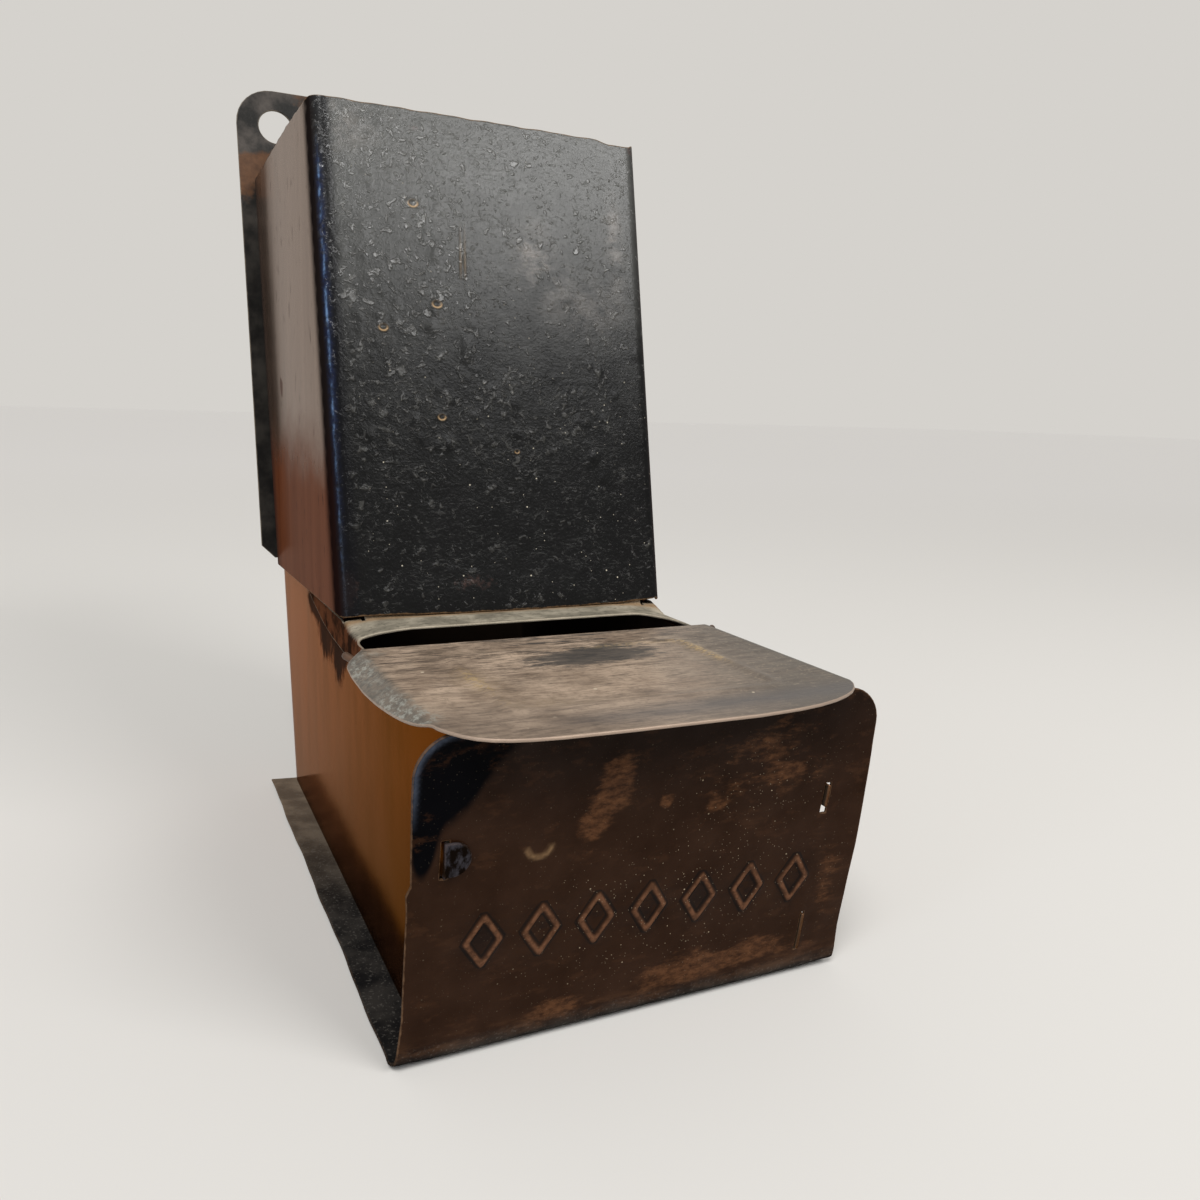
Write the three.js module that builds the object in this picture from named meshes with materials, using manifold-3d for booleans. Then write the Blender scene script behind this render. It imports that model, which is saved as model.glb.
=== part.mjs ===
// A match dispenser of thin black-japanned sheet iron, which stands on a table or hangs from two nails.
// Matches lie crosswise in the tall hopper, slide down into the tray and are taken from under the lid.
// Millimetres: X to the right, Y to the back, Z up. The origin is the middle of the base's underside.
import * as THREE from "three";
import { mergeVertices } from "three/addons/utils/BufferGeometryUtils.js";
import Module from "manifold-3d";

// Sheet and fits
const sheet = 0.5; // thickness of every sheet
const seam = 0.3; // solder gap where one sheet lies on another
const bendSteps = 5; // facets in each small bend
const roundSteps = 8; // facets in each rounded corner
const past = 2; // a cutting tool runs this far past what it cuts

// Hopper
const lean = 12.4; // degrees by which the hopper and its back lean away from upright
const hopperWidth = 68; // outside
const hopperDepth = 84; // level, from the front face to the back plate
const hopperHeight = 96.2; // level top edge above the level foot of the front
const hopperBend = 2.6; // outside radius of the two front bends
const sideDrop = 2; // the side walls' feet run down this much to the back
const seatFlange = 5; // the side walls' rear edges, turned in along the back plate

// Back plate
const plateMargin = 3.6; // the plate shows this wide beside the hopper
const plateRise = 24; // and this high above it
const plateDrop = 0.4; // and ends this far below the hopper's foot
const plateCorner = 9.4;
const plateChamfer = 3.2; // lower corners
const hangHoleRadius = 4.6;
const holeSides = 32;

// Tray
const shoulder = 57; // height of the hopper's front foot
const trayReach = 55; // base in front of the hopper's front foot
const trayBend = 2; // outside radius of the two rear bends
const trayLap = 6.5; // the tray rises this far inside the hopper
const lapStart = 6; // the lap begins this far behind the hopper's front face
const lapStep = 1; // level run in which a wall's top steps up

// Front and base plate
const frontLean = 10; // degrees by which the front plate leans out
const frontCorner = 6.5;
const footBend = 2.4; // outside radius of the bend between front and base
const baseFlange = 7.4; // base beside each tray wall, before the offset
const baseOffset = 1.4; // the plate sits this far to the right of the middle

// Bridge strip
const slotSetback = 8.5; // the strip's front edge, in front of the hopper's foot
const earReach = 17.2; // the two ears at its ends
const earWidth = 1.9;
const slotCorner = 4;
const flapDepth = 6.5; // the flaps at the ends, down the tray's walls
const flapReach = 15.6; // in front of the hopper's foot
const flapTail = 40; // behind it, where the flap tapers out
const flapGap = 0.05; // the flap passes just inside the hopper's wall
const upstand = 5; // the strip's rear edge, turned up inside the hopper
const upstandInset = 4; // its ends stay this far from the strip's ends

// Lid
const lidStart = 18; // the lid's rear edge, in front of the hopper's foot
const lidOverlap = 9.2; // its front edge, in front of the front plate's top
const lidOverhang = 0.5; // its bend lines, outside the hopper's walls
const lidDrop = 1.4; // the lid's top lies this far below the strip's top
const lidCorner = 11;
const lidRearCorner = 1.5;
const skirtWidth = 4.2;
const skirtRoot = 0.3; // the skirts begin this far inside the bend lines
const skirtStart = 0.8; // behind them, up to the lid's rear edge
const skirtSlope = 31; // degrees below level
const skirtEnd = 11; // the skirts stop this far from the lid's front edge
const skirtSteps = 24;
const beadInset = 11.5; // from the bend lines to the embossed bead
const beadBack = 9.5; // from the lid's rear edge
const beadFront = 11.8; // from its front edge
const beadWidth = 1.6;
const beadHeight = 0.4;
const beadCorner = 3.5;

// Hinge
const wireRadius = 0.7;
const wireSetback = 3; // the wire's axis, in front of the lid's rear edge
const wireDrop = 2; // and below the lid's underside
const wirePlay = 0.3; // round the wire, in the walls' and the ears' holes
const wireStickOut = 1.6; // the bends at its ends, beyond the tray's walls
const wireBend = 1.4; // each bend takes up this much of the wire on either side
const wireHook = 5; // length of the bent end
const wireHookTurn = 60; // degrees by which the ends turn back
const wireSides = 12;
const hookSteps = 12;
const earRound = 2.3; // radius of the lid's hinge ears
const knuckleEnd = -40; // degrees above level at which the wall's round behind the wire ends

// Lugs: tabs of the tray's walls through slits in the front plate
const lugPlay = 0.3;
const lugFold = 4; // length of a folded lug
const frontLugs = [
  { name: "left upper", side: -1, low: 32.5, high: 38, folded: true },
  { name: "right upper", side: 1, low: 32.5, high: 37.5, folded: false },
  { name: "right lower", side: 1, low: 5.5, high: 12.5, folded: false },
];
const proudLug = 1; // a lug that isn't folded stands out this far

// Pressed ornament on the front plate
const lozengeCount = 7;
const lozengeHeight = 9.4;
const lozengeWidth = 6.4;
const lozengePitch = 9.1;
const lozengeStroke = 1.1;
const lozengeRelief = 0.4;
const lozengeLevel = 20.5; // height of the row's middle

const radians = THREE.MathUtils.degToRad;
const backSlope = Math.tan(radians(lean));
const frontSlope = Math.tan(radians(frontLean));

// Outlines as shares of a size
const flapOutline = [
  // share of the flap's reach in front of the hopper or of its tail behind, share of its depth
  [-1, 0.6],
  [-0.75, 1],
  [0, 1],
  [0.3, 0.92],
  [0.55, 0.75],
  [0.8, 0.45],
];
const skirtOutline = [
  // share of the skirt's length from its rear end, share of its width
  [0, 0],
  [0.01, 0.45],
  [0.07, 0.8],
  [0.2, 0.95],
  [0.38, 1],
  [0.58, 0.9],
  [0.8, 0.55],
  [0.97, 0.22],
  [1, 0],
];

const baseDepth = trayReach + hopperDepth - shoulder * backSlope;
const frontFoot = -baseDepth / 2; // Y of the front plate's outside at the table
const hopperFoot = frontFoot + trayReach; // Y of the hopper's front face at its foot
const backFoot = frontFoot + baseDepth; // Y of the back plane at the table
const hopperFrontAtTable = hopperFoot - shoulder * backSlope;
const hopperTop = shoulder + hopperHeight;

const stripHalf = hopperWidth / 2 - sheet - flapGap;
const trayHalf = stripHalf - sheet - seam;
const stripTop = shoulder - seam;
const stripUnder = stripTop - sheet;
const lidTop = stripTop - lidDrop;
const lidUnder = lidTop - sheet;
const wallTop = lidUnder - seam;
const wallTopBehind = stripUnder - seam;
const frontHeight = wallTop;
const lidRear = hopperFoot - lidStart;
const lidFront = frontFoot - frontHeight * frontSlope - lidOverlap;
const lidHalf = hopperWidth / 2 + lidOverhang; // out to the bend line
const wireY = lidRear - wireSetback;
const wireZ = lidUnder - wireDrop;
const lidSwing = Math.hypot(wireSetback, wireDrop + sheet) + seam; // room for the lid's rear edge as it turns

const wasm = await Module();
wasm.setup();

// A closed geometry as a solid that can be joined and cut.
function solidOf(geometry) {
  const bare = geometry.clone();
  bare.deleteAttribute("normal");
  bare.deleteAttribute("uv");
  const merged = mergeVertices(bare, 1e-4);
  return new wasm.Manifold(
    new wasm.Mesh({
      numProp: 3,
      vertProperties: new Float32Array(merged.getAttribute("position").array),
      triVerts: new Uint32Array(merged.index.array),
    }),
  );
}

function geometryOf(solid) {
  const mesh = solid.getMesh();
  const geometry = new THREE.BufferGeometry();
  geometry.setAttribute("position", new THREE.BufferAttribute(mesh.vertProperties, 3));
  geometry.setIndex(new THREE.BufferAttribute(mesh.triVerts, 1));
  geometry.computeVertexNormals();
  return geometry;
}

// Points of a line or outline whose corners [x, y, radius] are rounded by arcs.
function filleted(corners, closed, steps) {
  const points = [];
  corners.forEach(([x, y, radius = 0], i) => {
    const corner = new THREE.Vector2(x, y);
    const inner = closed || (i > 0 && i < corners.length - 1);
    if (!radius || !inner) {
      points.push(corner);
      return;
    }
    const before = corners[(i + corners.length - 1) % corners.length];
    const after = corners[(i + 1) % corners.length];
    const back = new THREE.Vector2(before[0] - x, before[1] - y).normalize();
    const ahead = new THREE.Vector2(after[0] - x, after[1] - y).normalize();
    const half = Math.acos(THREE.MathUtils.clamp(back.dot(ahead), -1, 1)) / 2;
    const run = radius / Math.tan(half);
    const start = corner.clone().addScaledVector(back, run);
    const end = corner.clone().addScaledVector(ahead, run);
    const middle = back.clone().add(ahead).normalize();
    const centre = corner.clone().addScaledVector(middle, radius / Math.sin(half));
    const from = Math.atan2(start.y - centre.y, start.x - centre.x);
    let turn = Math.atan2(end.y - centre.y, end.x - centre.x) - from;
    if (turn > Math.PI) turn -= 2 * Math.PI;
    if (turn < -Math.PI) turn += 2 * Math.PI;
    for (let k = 0; k <= steps; k += 1) {
      const angle = from + (turn * k) / steps;
      const spoke = new THREE.Vector2(Math.cos(angle), Math.sin(angle));
      points.push(centre.clone().addScaledVector(spoke, radius));
    }
  });
  return points;
}

// The outline of a sheet seen on edge: a line given thickness to its left.
function onEdge(line, thickness) {
  const inside = line.map((point, i) => {
    const before = line[Math.max(i - 1, 0)];
    const after = line[Math.min(i + 1, line.length - 1)];
    const first = point.clone().sub(i > 0 ? before : point).normalize();
    const second = after.clone().sub(i < line.length - 1 ? point : after).normalize();
    const along = first.clone().add(second).normalize();
    const left = new THREE.Vector2(-along.y, along.x);
    const reference = i > 0 ? first : second;
    const stretch = 1 / new THREE.Vector2(-reference.y, reference.x).dot(left);
    return point.clone().addScaledVector(left, thickness * stretch);
  });
  return [...line, ...inside.reverse()];
}

// Solids pushed out of an outline: drawn in X and Y and pushed up, in X and Z and pushed back,
// or in Y and Z and pushed to the right.
function pushed(points, depth, holes = []) {
  const shape = new THREE.Shape(points);
  holes.forEach((hole) => shape.holes.push(new THREE.Path(hole)));
  return new THREE.ExtrudeGeometry(shape, { depth, bevelEnabled: false });
}
function pushedUp(points, low, high, holes) {
  return pushed(points, high - low, holes).translate(0, 0, low);
}
function pushedBack(points, near, far, holes) {
  const turned = new THREE.Matrix4().makeRotationX(Math.PI / 2);
  return pushed(points, far - near, holes).applyMatrix4(turned).translate(0, far, 0);
}
function pushedRight(points, left, right, holes) {
  const axes = new THREE.Matrix4().makeBasis(
    new THREE.Vector3(0, 1, 0),
    new THREE.Vector3(0, 0, 1),
    new THREE.Vector3(1, 0, 0),
  );
  return pushed(points, right - left, holes).applyMatrix4(axes).translate(left, 0, 0);
}

function toPoints(pairs) {
  return pairs.map(([x, y]) => new THREE.Vector2(x, y));
}
function rectangle(x0, y0, x1, y1, radius) {
  const corners = [
    [x0, y0, radius],
    [x1, y0, radius],
    [x1, y1, radius],
    [x0, y1, radius],
  ];
  return filleted(corners, true, roundSteps);
}
function arc(x, y, radius, from, to, steps) {
  return Array.from({ length: steps + 1 }, (_, i) => {
    const angle = radians(from + ((to - from) * i) / steps);
    return new THREE.Vector2(x + radius * Math.cos(angle), y + radius * Math.sin(angle));
  });
}
function circle(x, y, radius, sides) {
  return arc(x, y, radius, 0, 360, sides).slice(0, -1);
}
function block(x0, x1, y0, y1, z0, z1) {
  const size = new THREE.BoxGeometry(x1 - x0, y1 - y0, z1 - z0);
  return size.translate((x0 + x1) / 2, (y0 + y1) / 2, (z0 + z1) / 2);
}

// Slides each level of an upright solid back or forward, so that it leans.
function leant(geometry, slope) {
  return geometry.applyMatrix4(new THREE.Matrix4().makeShear(0, 0, 0, 0, 0, slope));
}
function join(solids) {
  return solids.reduce((sum, solid) => sum.add(solid));
}
function cut(solid, tools) {
  return tools.reduce((rest, tool) => rest.subtract(tool), solid);
}

function backPlate() {
  const half = hopperWidth / 2 + plateMargin;
  const low = shoulder - plateDrop;
  const high = hopperTop + plateRise;
  const outline = filleted(
    [
      [-half + plateChamfer, low],
      [half - plateChamfer, low],
      [half, low + plateChamfer],
      [half, high, plateCorner],
      [-half, high, plateCorner],
      [-half, low + plateChamfer],
    ],
    true,
    roundSteps,
  );
  const holes = [-1, 1].map((side) =>
    circle(side * (half - plateCorner), high - plateCorner, hangHoleRadius, holeSides),
  );
  return leant(pushedBack(outline, backFoot, backFoot + sheet, holes), backSlope);
}

function hopperShell() {
  const half = hopperWidth / 2;
  const wallEnd = backFoot - seam;
  const bent = filleted(
    [
      [-half, wallEnd],
      [-half, hopperFrontAtTable, hopperBend],
      [half, hopperFrontAtTable, hopperBend],
      [half, wallEnd],
    ],
    false,
    bendSteps,
  );
  const low = shoulder - sideDrop;
  const shell = solidOf(leant(pushedUp(onEdge(bent, sheet), low, hopperTop), backSlope));
  const footEnd = hopperFoot + hopperDepth;
  const foot = toPoints([
    [hopperFoot - past, low - past],
    [footEnd, low - past],
    [footEnd, low],
    [hopperFoot + hopperBend, shoulder],
    [hopperFoot - past, shoulder],
  ]);
  const under = solidOf(pushedRight(foot, -half - past, half + past));
  const flanges = [-half, half - seatFlange].map((left) => {
    const flange = block(
      left, left + seatFlange,
      wallEnd - sheet, wallEnd,
      shoulder + trayLap + seam, hopperTop,
    );
    return solidOf(leant(flange, backSlope));
  });
  return geometryOf(join([shell.subtract(under), ...flanges]));
}

// Y of the front plate's inside at a height.
function frontInside(z) {
  return frontFoot - z * frontSlope + sheet / Math.cos(radians(frontLean));
}

const frontLugSolids = frontLugs.map(({ side, low, high, folded }) => {
  const outer = side * trayHalf;
  const inner = side * (trayHalf - sheet);
  const face = frontFoot - seam;
  const tip = folded ? face - sheet : face - proudLug;
  const stem = block(
    Math.min(outer, inner), Math.max(outer, inner),
    tip, frontFoot + sheet + seam + proudLug,
    low, high,
  );
  const stemSolid = solidOf(leant(stem, -frontSlope));
  if (!folded) return stemSolid;
  const reach = (high - low) / 2;
  const leaf = [
    ...arc(outer + lugFold - reach, (low + high) / 2, reach, -90, 90, roundSteps),
    new THREE.Vector2(outer, high),
    new THREE.Vector2(outer, low),
  ];
  return stemSolid.add(solidOf(leant(pushedBack(leaf, tip, face), -frontSlope)));
});

function trayShell() {
  const rearOutside = backFoot - seam;
  const cornerStart = rearOutside - trayBend;
  const lapTop = shoulder + trayLap;
  const bent = filleted(
    [
      [trayHalf, cornerStart - trayBend],
      [trayHalf, rearOutside, trayBend],
      [-trayHalf, rearOutside, trayBend],
      [-trayHalf, cornerStart - trayBend],
    ],
    false,
    bendSteps,
  );
  const rear = solidOf(leant(pushedUp(onEdge(bent, sheet), sheet, lapTop), backSlope));
  const toeClear = footBend + seam;
  // Behind the wire the walls are cut away, so that the lid's rear edge can turn down past them.
  const knuckle = arc(wireY, wireZ, wallTop - wireZ, 90, knuckleEnd, roundSteps);
  const wall = [
    ...toPoints([
      [cornerStart + sheet * backSlope, sheet],
      [frontInside(sheet) + toeClear, sheet],
      [frontInside(toeClear) + seam, toeClear],
      [frontInside(wallTop) + seam, wallTop],
    ]),
    ...knuckle,
    ...toPoints([
      [wireY + wireRadius + wirePlay, wireZ - lidSwing],
      [wireY + lidSwing, wireZ - lidSwing],
      [wireY + lidSwing, wallTop],
      [wireY + lidSwing + lapStep, wallTopBehind],
      [hopperFoot + lapStart, wallTopBehind],
      [hopperFoot + lapStart + trayLap * backSlope, lapTop],
      [cornerStart + lapTop * backSlope, lapTop],
    ]),
  ];
  const wireHole = circle(wireY, wireZ, wireRadius + wirePlay, wireSides);
  const walls = [-trayHalf, trayHalf - sheet].map((left) =>
    solidOf(pushedRight(wall, left, left + sheet, [wireHole])),
  );
  return geometryOf(join([rear, ...walls, ...frontLugSolids]));
}

function frontAndBasePlate() {
  const half = trayHalf + baseFlange;
  const topY = frontFoot - frontHeight * frontSlope;
  const line = filleted(
    [
      [backFoot, 0],
      [frontFoot, 0, footBend],
      [topY, frontHeight],
    ],
    false,
    bendSteps,
  );
  const bent = solidOf(pushedRight(onEdge(line.reverse(), sheet), baseOffset - half, baseOffset + half));
  const front = filleted(
    [
      [baseOffset - half, -past],
      [baseOffset + half, -past],
      [baseOffset + half, frontHeight, frontCorner],
      [baseOffset - half, frontHeight, frontCorner],
    ],
    true,
    roundSteps,
  );
  const trimmed = bent.intersect(solidOf(pushedBack(front, topY - past, backFoot + past)));
  const slits = frontLugs.map(({ side, low, high }) => {
    const wall = side * (trayHalf - sheet / 2);
    const reach = sheet / 2 + lugPlay;
    const slit = block(
      wall - reach, wall + reach,
      frontFoot - past, frontFoot + past,
      low - lugPlay, high + lugPlay,
    );
    return solidOf(leant(slit, -frontSlope));
  });
  return geometryOf(join([cut(trimmed, slits), ...lozenges()]));
}

// A row of pressed lozenges, a common ornament on punched sheet iron.
function lozenges() {
  const outside = [lozengeWidth / 2, lozengeHeight / 2];
  const inside = outside.map((half) => half - lozengeStroke);
  const [outer, inner] = [outside, inside].map(([x, z]) =>
    toPoints([
      [0, -z],
      [x, 0],
      [0, z],
      [-x, 0],
    ]),
  );
  return Array.from({ length: lozengeCount }, (_, i) => {
    const x = baseOffset + (i - (lozengeCount - 1) / 2) * lozengePitch;
    const ring = pushedBack(outer, frontFoot - lozengeRelief, frontFoot + sheet / 2, [inner]);
    return solidOf(leant(ring.translate(x, 0, lozengeLevel), -frontSlope));
  });
}

function bridgeStrip() {
  const front = hopperFoot - slotSetback;
  const ears = hopperFoot - earReach;
  const rear = hopperFoot + 2 * sheet + seam;
  const slotHalf = trayHalf - earWidth + sheet;
  const outline = filleted(
    [
      [-stripHalf, rear],
      [-stripHalf, ears],
      [-slotHalf, ears],
      [-slotHalf, front, slotCorner],
      [slotHalf, front, slotCorner],
      [slotHalf, ears],
      [stripHalf, ears],
      [stripHalf, rear],
    ],
    true,
    bendSteps,
  );
  const top = solidOf(pushedUp(outline, stripUnder, stripTop));
  const innerFace = hopperFrontAtTable + sheet + seam;
  const upstandHalf = stripHalf - upstandInset;
  const turnedUp = block(
    -upstandHalf, upstandHalf,
    innerFace, innerFace + sheet,
    stripUnder, shoulder + upstand,
  );
  const flap = toPoints([
    [rear, stripTop],
    [hopperFoot - flapReach, stripTop],
    ...flapOutline.map(([along, down]) => [
      hopperFoot + along * (along < 0 ? flapReach : flapTail),
      stripTop - down * flapDepth,
    ]),
    [hopperFoot + flapTail, stripTop - 2 * sheet],
    [hopperFoot + flapTail, stripTop - sheet],
    [rear, stripTop - sheet],
  ]);
  const flaps = [-stripHalf, stripHalf - sheet].map((left) =>
    solidOf(pushedRight(flap, left, left + sheet)),
  );
  return geometryOf(join([top, solidOf(leant(turnedUp, backSlope)), ...flaps]));
}

function lid() {
  const outline = filleted(
    [
      [-lidHalf, lidFront, lidCorner],
      [lidHalf, lidFront, lidCorner],
      [lidHalf, lidRear, lidRearCorner],
      [-lidHalf, lidRear, lidRearCorner],
    ],
    true,
    roundSteps,
  );
  const top = solidOf(pushedUp(outline, lidUnder, lidTop));
  const beadHalf = lidHalf - beadInset;
  const beadOuter = rectangle(
    -beadHalf, lidFront + beadFront,
    beadHalf, lidRear - beadBack,
    beadCorner,
  );
  const beadInner = rectangle(
    -beadHalf + beadWidth, lidFront + beadFront + beadWidth,
    beadHalf - beadWidth, lidRear - beadBack - beadWidth,
    beadCorner - beadWidth,
  );
  const bead = solidOf(pushedUp(beadOuter, lidTop - sheet / 2, lidTop + beadHeight, [beadInner]));
  const rearEnd = lidRear - skirtStart;
  const length = rearEnd - (lidFront + skirtEnd);
  const rim = toPoints(
    skirtOutline.map(([along, out]) => [-out * skirtWidth - skirtRoot, rearEnd - along * length]),
  );
  const skirtShape = [
    new THREE.Vector2(0, rearEnd),
    ...new THREE.SplineCurve(rim).getPoints(skirtSteps),
    new THREE.Vector2(0, rearEnd - length),
  ];
  const skirt = pushedUp(skirtShape, -sheet, 0).rotateY(-radians(skirtSlope));
  const left = solidOf(skirt.translate(-lidHalf + skirtRoot, 0, lidTop));
  const earOutside = trayHalf - sheet - seam;
  const earTop = lidUnder + sheet / 2;
  const ear = [
    ...arc(wireY, wireZ, earRound, 180, 360, wireSides),
    new THREE.Vector2(wireY + earRound, earTop),
    new THREE.Vector2(wireY - earRound, earTop),
  ];
  const hole = circle(wireY, wireZ, wireRadius + wirePlay, wireSides);
  const ears = [-earOutside, earOutside - sheet].map((x) =>
    solidOf(pushedRight(ear, x, x + sheet, [hole])),
  );
  return geometryOf(join([top, bead, left, left.mirror([1, 0, 0]), ...ears]));
}

// The wire runs through both walls and both ears, and its ends turn back to keep it in.
function hingeWire() {
  const bendX = trayHalf + wireStickOut;
  const turn = radians(wireHookTurn);
  const straight = new THREE.CylinderGeometry(
    wireRadius, wireRadius,
    2 * (bendX - wireBend), wireSides,
  );
  straight.rotateZ(Math.PI / 2).translate(0, wireY, wireZ);
  const section = new THREE.Shape(circle(0, 0, wireRadius, wireSides));
  const hooks = [-1, 1].map((side) => {
    const before = (length) => new THREE.Vector3(side * (bendX - length), wireY, wireZ);
    const beyond = (length) => {
      const [out, back] = [length * Math.cos(turn), length * Math.sin(turn)];
      return new THREE.Vector3(side * (bendX + out), wireY + back, wireZ);
    };
    const path = new THREE.CurvePath();
    path.add(new THREE.LineCurve3(before(2 * wireBend), before(wireBend)));
    path.add(new THREE.QuadraticBezierCurve3(before(wireBend), before(0), beyond(wireBend)));
    path.add(new THREE.LineCurve3(beyond(wireBend), beyond(wireHook)));
    return new THREE.ExtrudeGeometry(section, { extrudePath: path, steps: hookSteps, bevelEnabled: false });
  });
  return geometryOf(join([straight, ...hooks].map(solidOf)));
}

const japan = { roughness: 0.35, metalness: 0.1 };
function piece(name, geometry, color, finish) {
  const mesh = new THREE.Mesh(geometry, new THREE.MeshStandardMaterial({ color, ...finish }));
  mesh.name = name;
  return mesh;
}

const holder = new THREE.Group();
holder.name = "match_holder";

const hanging = new THREE.Group();
hanging.add(piece("back_plate", backPlate(), 0x2b2724, { roughness: 0.5, metalness: 0.2 }));
hanging.add(piece("hopper_shell", hopperShell(), 0x1b1b1c, japan));

const tray = new THREE.Group();
tray.add(piece("tray_shell", trayShell(), 0x241a14, japan));
tray.add(piece("bridge_strip", bridgeStrip(), 0x4a4640, { roughness: 0.5, metalness: 0.4 }));
tray.add(piece("front_and_base_plate", frontAndBasePlate(), 0x2a1b12, { roughness: 0.4, metalness: 0.2 }));
tray.add(piece("hinge_wire", hingeWire(), 0x5a4a3c, { roughness: 0.4, metalness: 0.8 }));
tray.add(piece("lid", lid(), 0x6e6258, { roughness: 0.45, metalness: 0.5 }));

holder.add(hanging, tray);

export default holder;
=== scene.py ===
"""Looks of a match holder made of thin japanned sheet iron: a leaning hopper over a tray with a hinged lid.

Sizes in the sections are millimetres in the part's own frame: x to the right, y to the back, z up.
"""

import math

import bpy
import numpy as np
from mathutils import Matrix, Vector
from mathutils.geometry import delaunay_2d_cdt


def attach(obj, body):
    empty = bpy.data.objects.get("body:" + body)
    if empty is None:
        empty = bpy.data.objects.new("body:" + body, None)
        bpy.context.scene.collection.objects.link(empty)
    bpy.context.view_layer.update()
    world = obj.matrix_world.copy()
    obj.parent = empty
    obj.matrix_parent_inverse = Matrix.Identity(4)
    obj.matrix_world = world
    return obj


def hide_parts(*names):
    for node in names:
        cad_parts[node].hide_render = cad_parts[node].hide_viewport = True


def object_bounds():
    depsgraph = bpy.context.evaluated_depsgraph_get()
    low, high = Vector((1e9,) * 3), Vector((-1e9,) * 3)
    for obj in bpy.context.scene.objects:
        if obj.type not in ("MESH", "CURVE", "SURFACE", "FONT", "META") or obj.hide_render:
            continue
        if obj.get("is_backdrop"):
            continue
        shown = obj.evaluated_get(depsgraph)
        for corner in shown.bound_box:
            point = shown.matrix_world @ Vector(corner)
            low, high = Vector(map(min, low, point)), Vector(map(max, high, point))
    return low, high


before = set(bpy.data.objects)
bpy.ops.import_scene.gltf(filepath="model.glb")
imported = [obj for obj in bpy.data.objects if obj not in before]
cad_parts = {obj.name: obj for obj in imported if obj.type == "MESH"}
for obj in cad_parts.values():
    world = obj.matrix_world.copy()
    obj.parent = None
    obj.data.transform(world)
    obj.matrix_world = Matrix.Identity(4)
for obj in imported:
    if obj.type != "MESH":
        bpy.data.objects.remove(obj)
cad_low, cad_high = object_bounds()


# Back plate
# A flat iron sheet that the hopper is soldered to, with rounded upper corners and a nail hole in each.
# Its japan has gone dull and grey, and rust has come through round the left hole.


def rounded(corners, steps=8):
    """The closed outline through corners (x, y, radius), those with a radius rounded by an arc."""
    line = []
    for i, (x, y, *radius) in enumerate(corners):
        here = np.array((x, y), float)
        if not radius:
            line.append(here)
            continue
        back = np.array(corners[i - 1][:2]) - here
        ahead = np.array(corners[(i + 1) % len(corners)][:2]) - here
        back /= np.linalg.norm(back)
        ahead /= np.linalg.norm(ahead)
        half = math.acos(back @ ahead) / 2
        middle = (back + ahead) / np.linalg.norm(back + ahead)
        centre = here + middle * radius[0] / math.sin(half)
        run = radius[0] / math.tan(half)
        start, end = here + back * run - centre, here + ahead * run - centre
        turn = math.pi - 2 * half
        for k in range(steps + 1):
            share = k / steps
            spoke = math.sin((1 - share) * turn) * start + math.sin(share * turn) * end
            line.append(centre + spoke / math.sin(turn))
    return np.array(line)


def circle(x, y, radius, steps=40):
    turn = np.linspace(0, 2 * math.pi, steps, endpoint=False)
    return np.stack([x + radius * np.cos(turn), y + radius * np.sin(turn)], 1)


def closer(line, spacing):
    """The closed line with points added, so that none are further apart than the spacing."""
    made = []
    for a, b in zip(line, np.roll(line, -1, 0)):
        steps = max(1, math.ceil(np.linalg.norm(b - a) / spacing))
        made += [a + (b - a) * k / steps for k in range(steps)]
    return np.array(made)


def hexes(x0, y0, x1, y1, spacing):
    """Points (x, y, spacing) of a triangular grid over a rectangle."""
    rows = []
    for k, y in enumerate(np.arange(y0, y1, spacing * math.sqrt(3) / 2)):
        x = np.arange(x0 + (k % 2) * spacing / 2, x1, spacing)
        rows.append(np.stack([x, np.full(len(x), y), np.full(len(x), spacing)], 1))
    return np.concatenate(rows)


def inside(points, loops):
    """Which of the points lie within the outline and outside the holes."""
    x, y = points[:, 0], points[:, 1]
    within = np.zeros(len(points), bool)
    for loop in loops:
        for (x0, y0), (x1, y1) in zip(loop, np.roll(loop, -1, 0)):
            if y0 != y1:
                crossing = x0 + (y - y0) * (x1 - x0) / (y1 - y0)
                within ^= ((y0 > y) != (y1 > y)) & (x < crossing)
    return within


thick = 0.5  # every sheet of the object
cut_round = 0.12  # the cut edges of the sheets are rounded by this much


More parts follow.
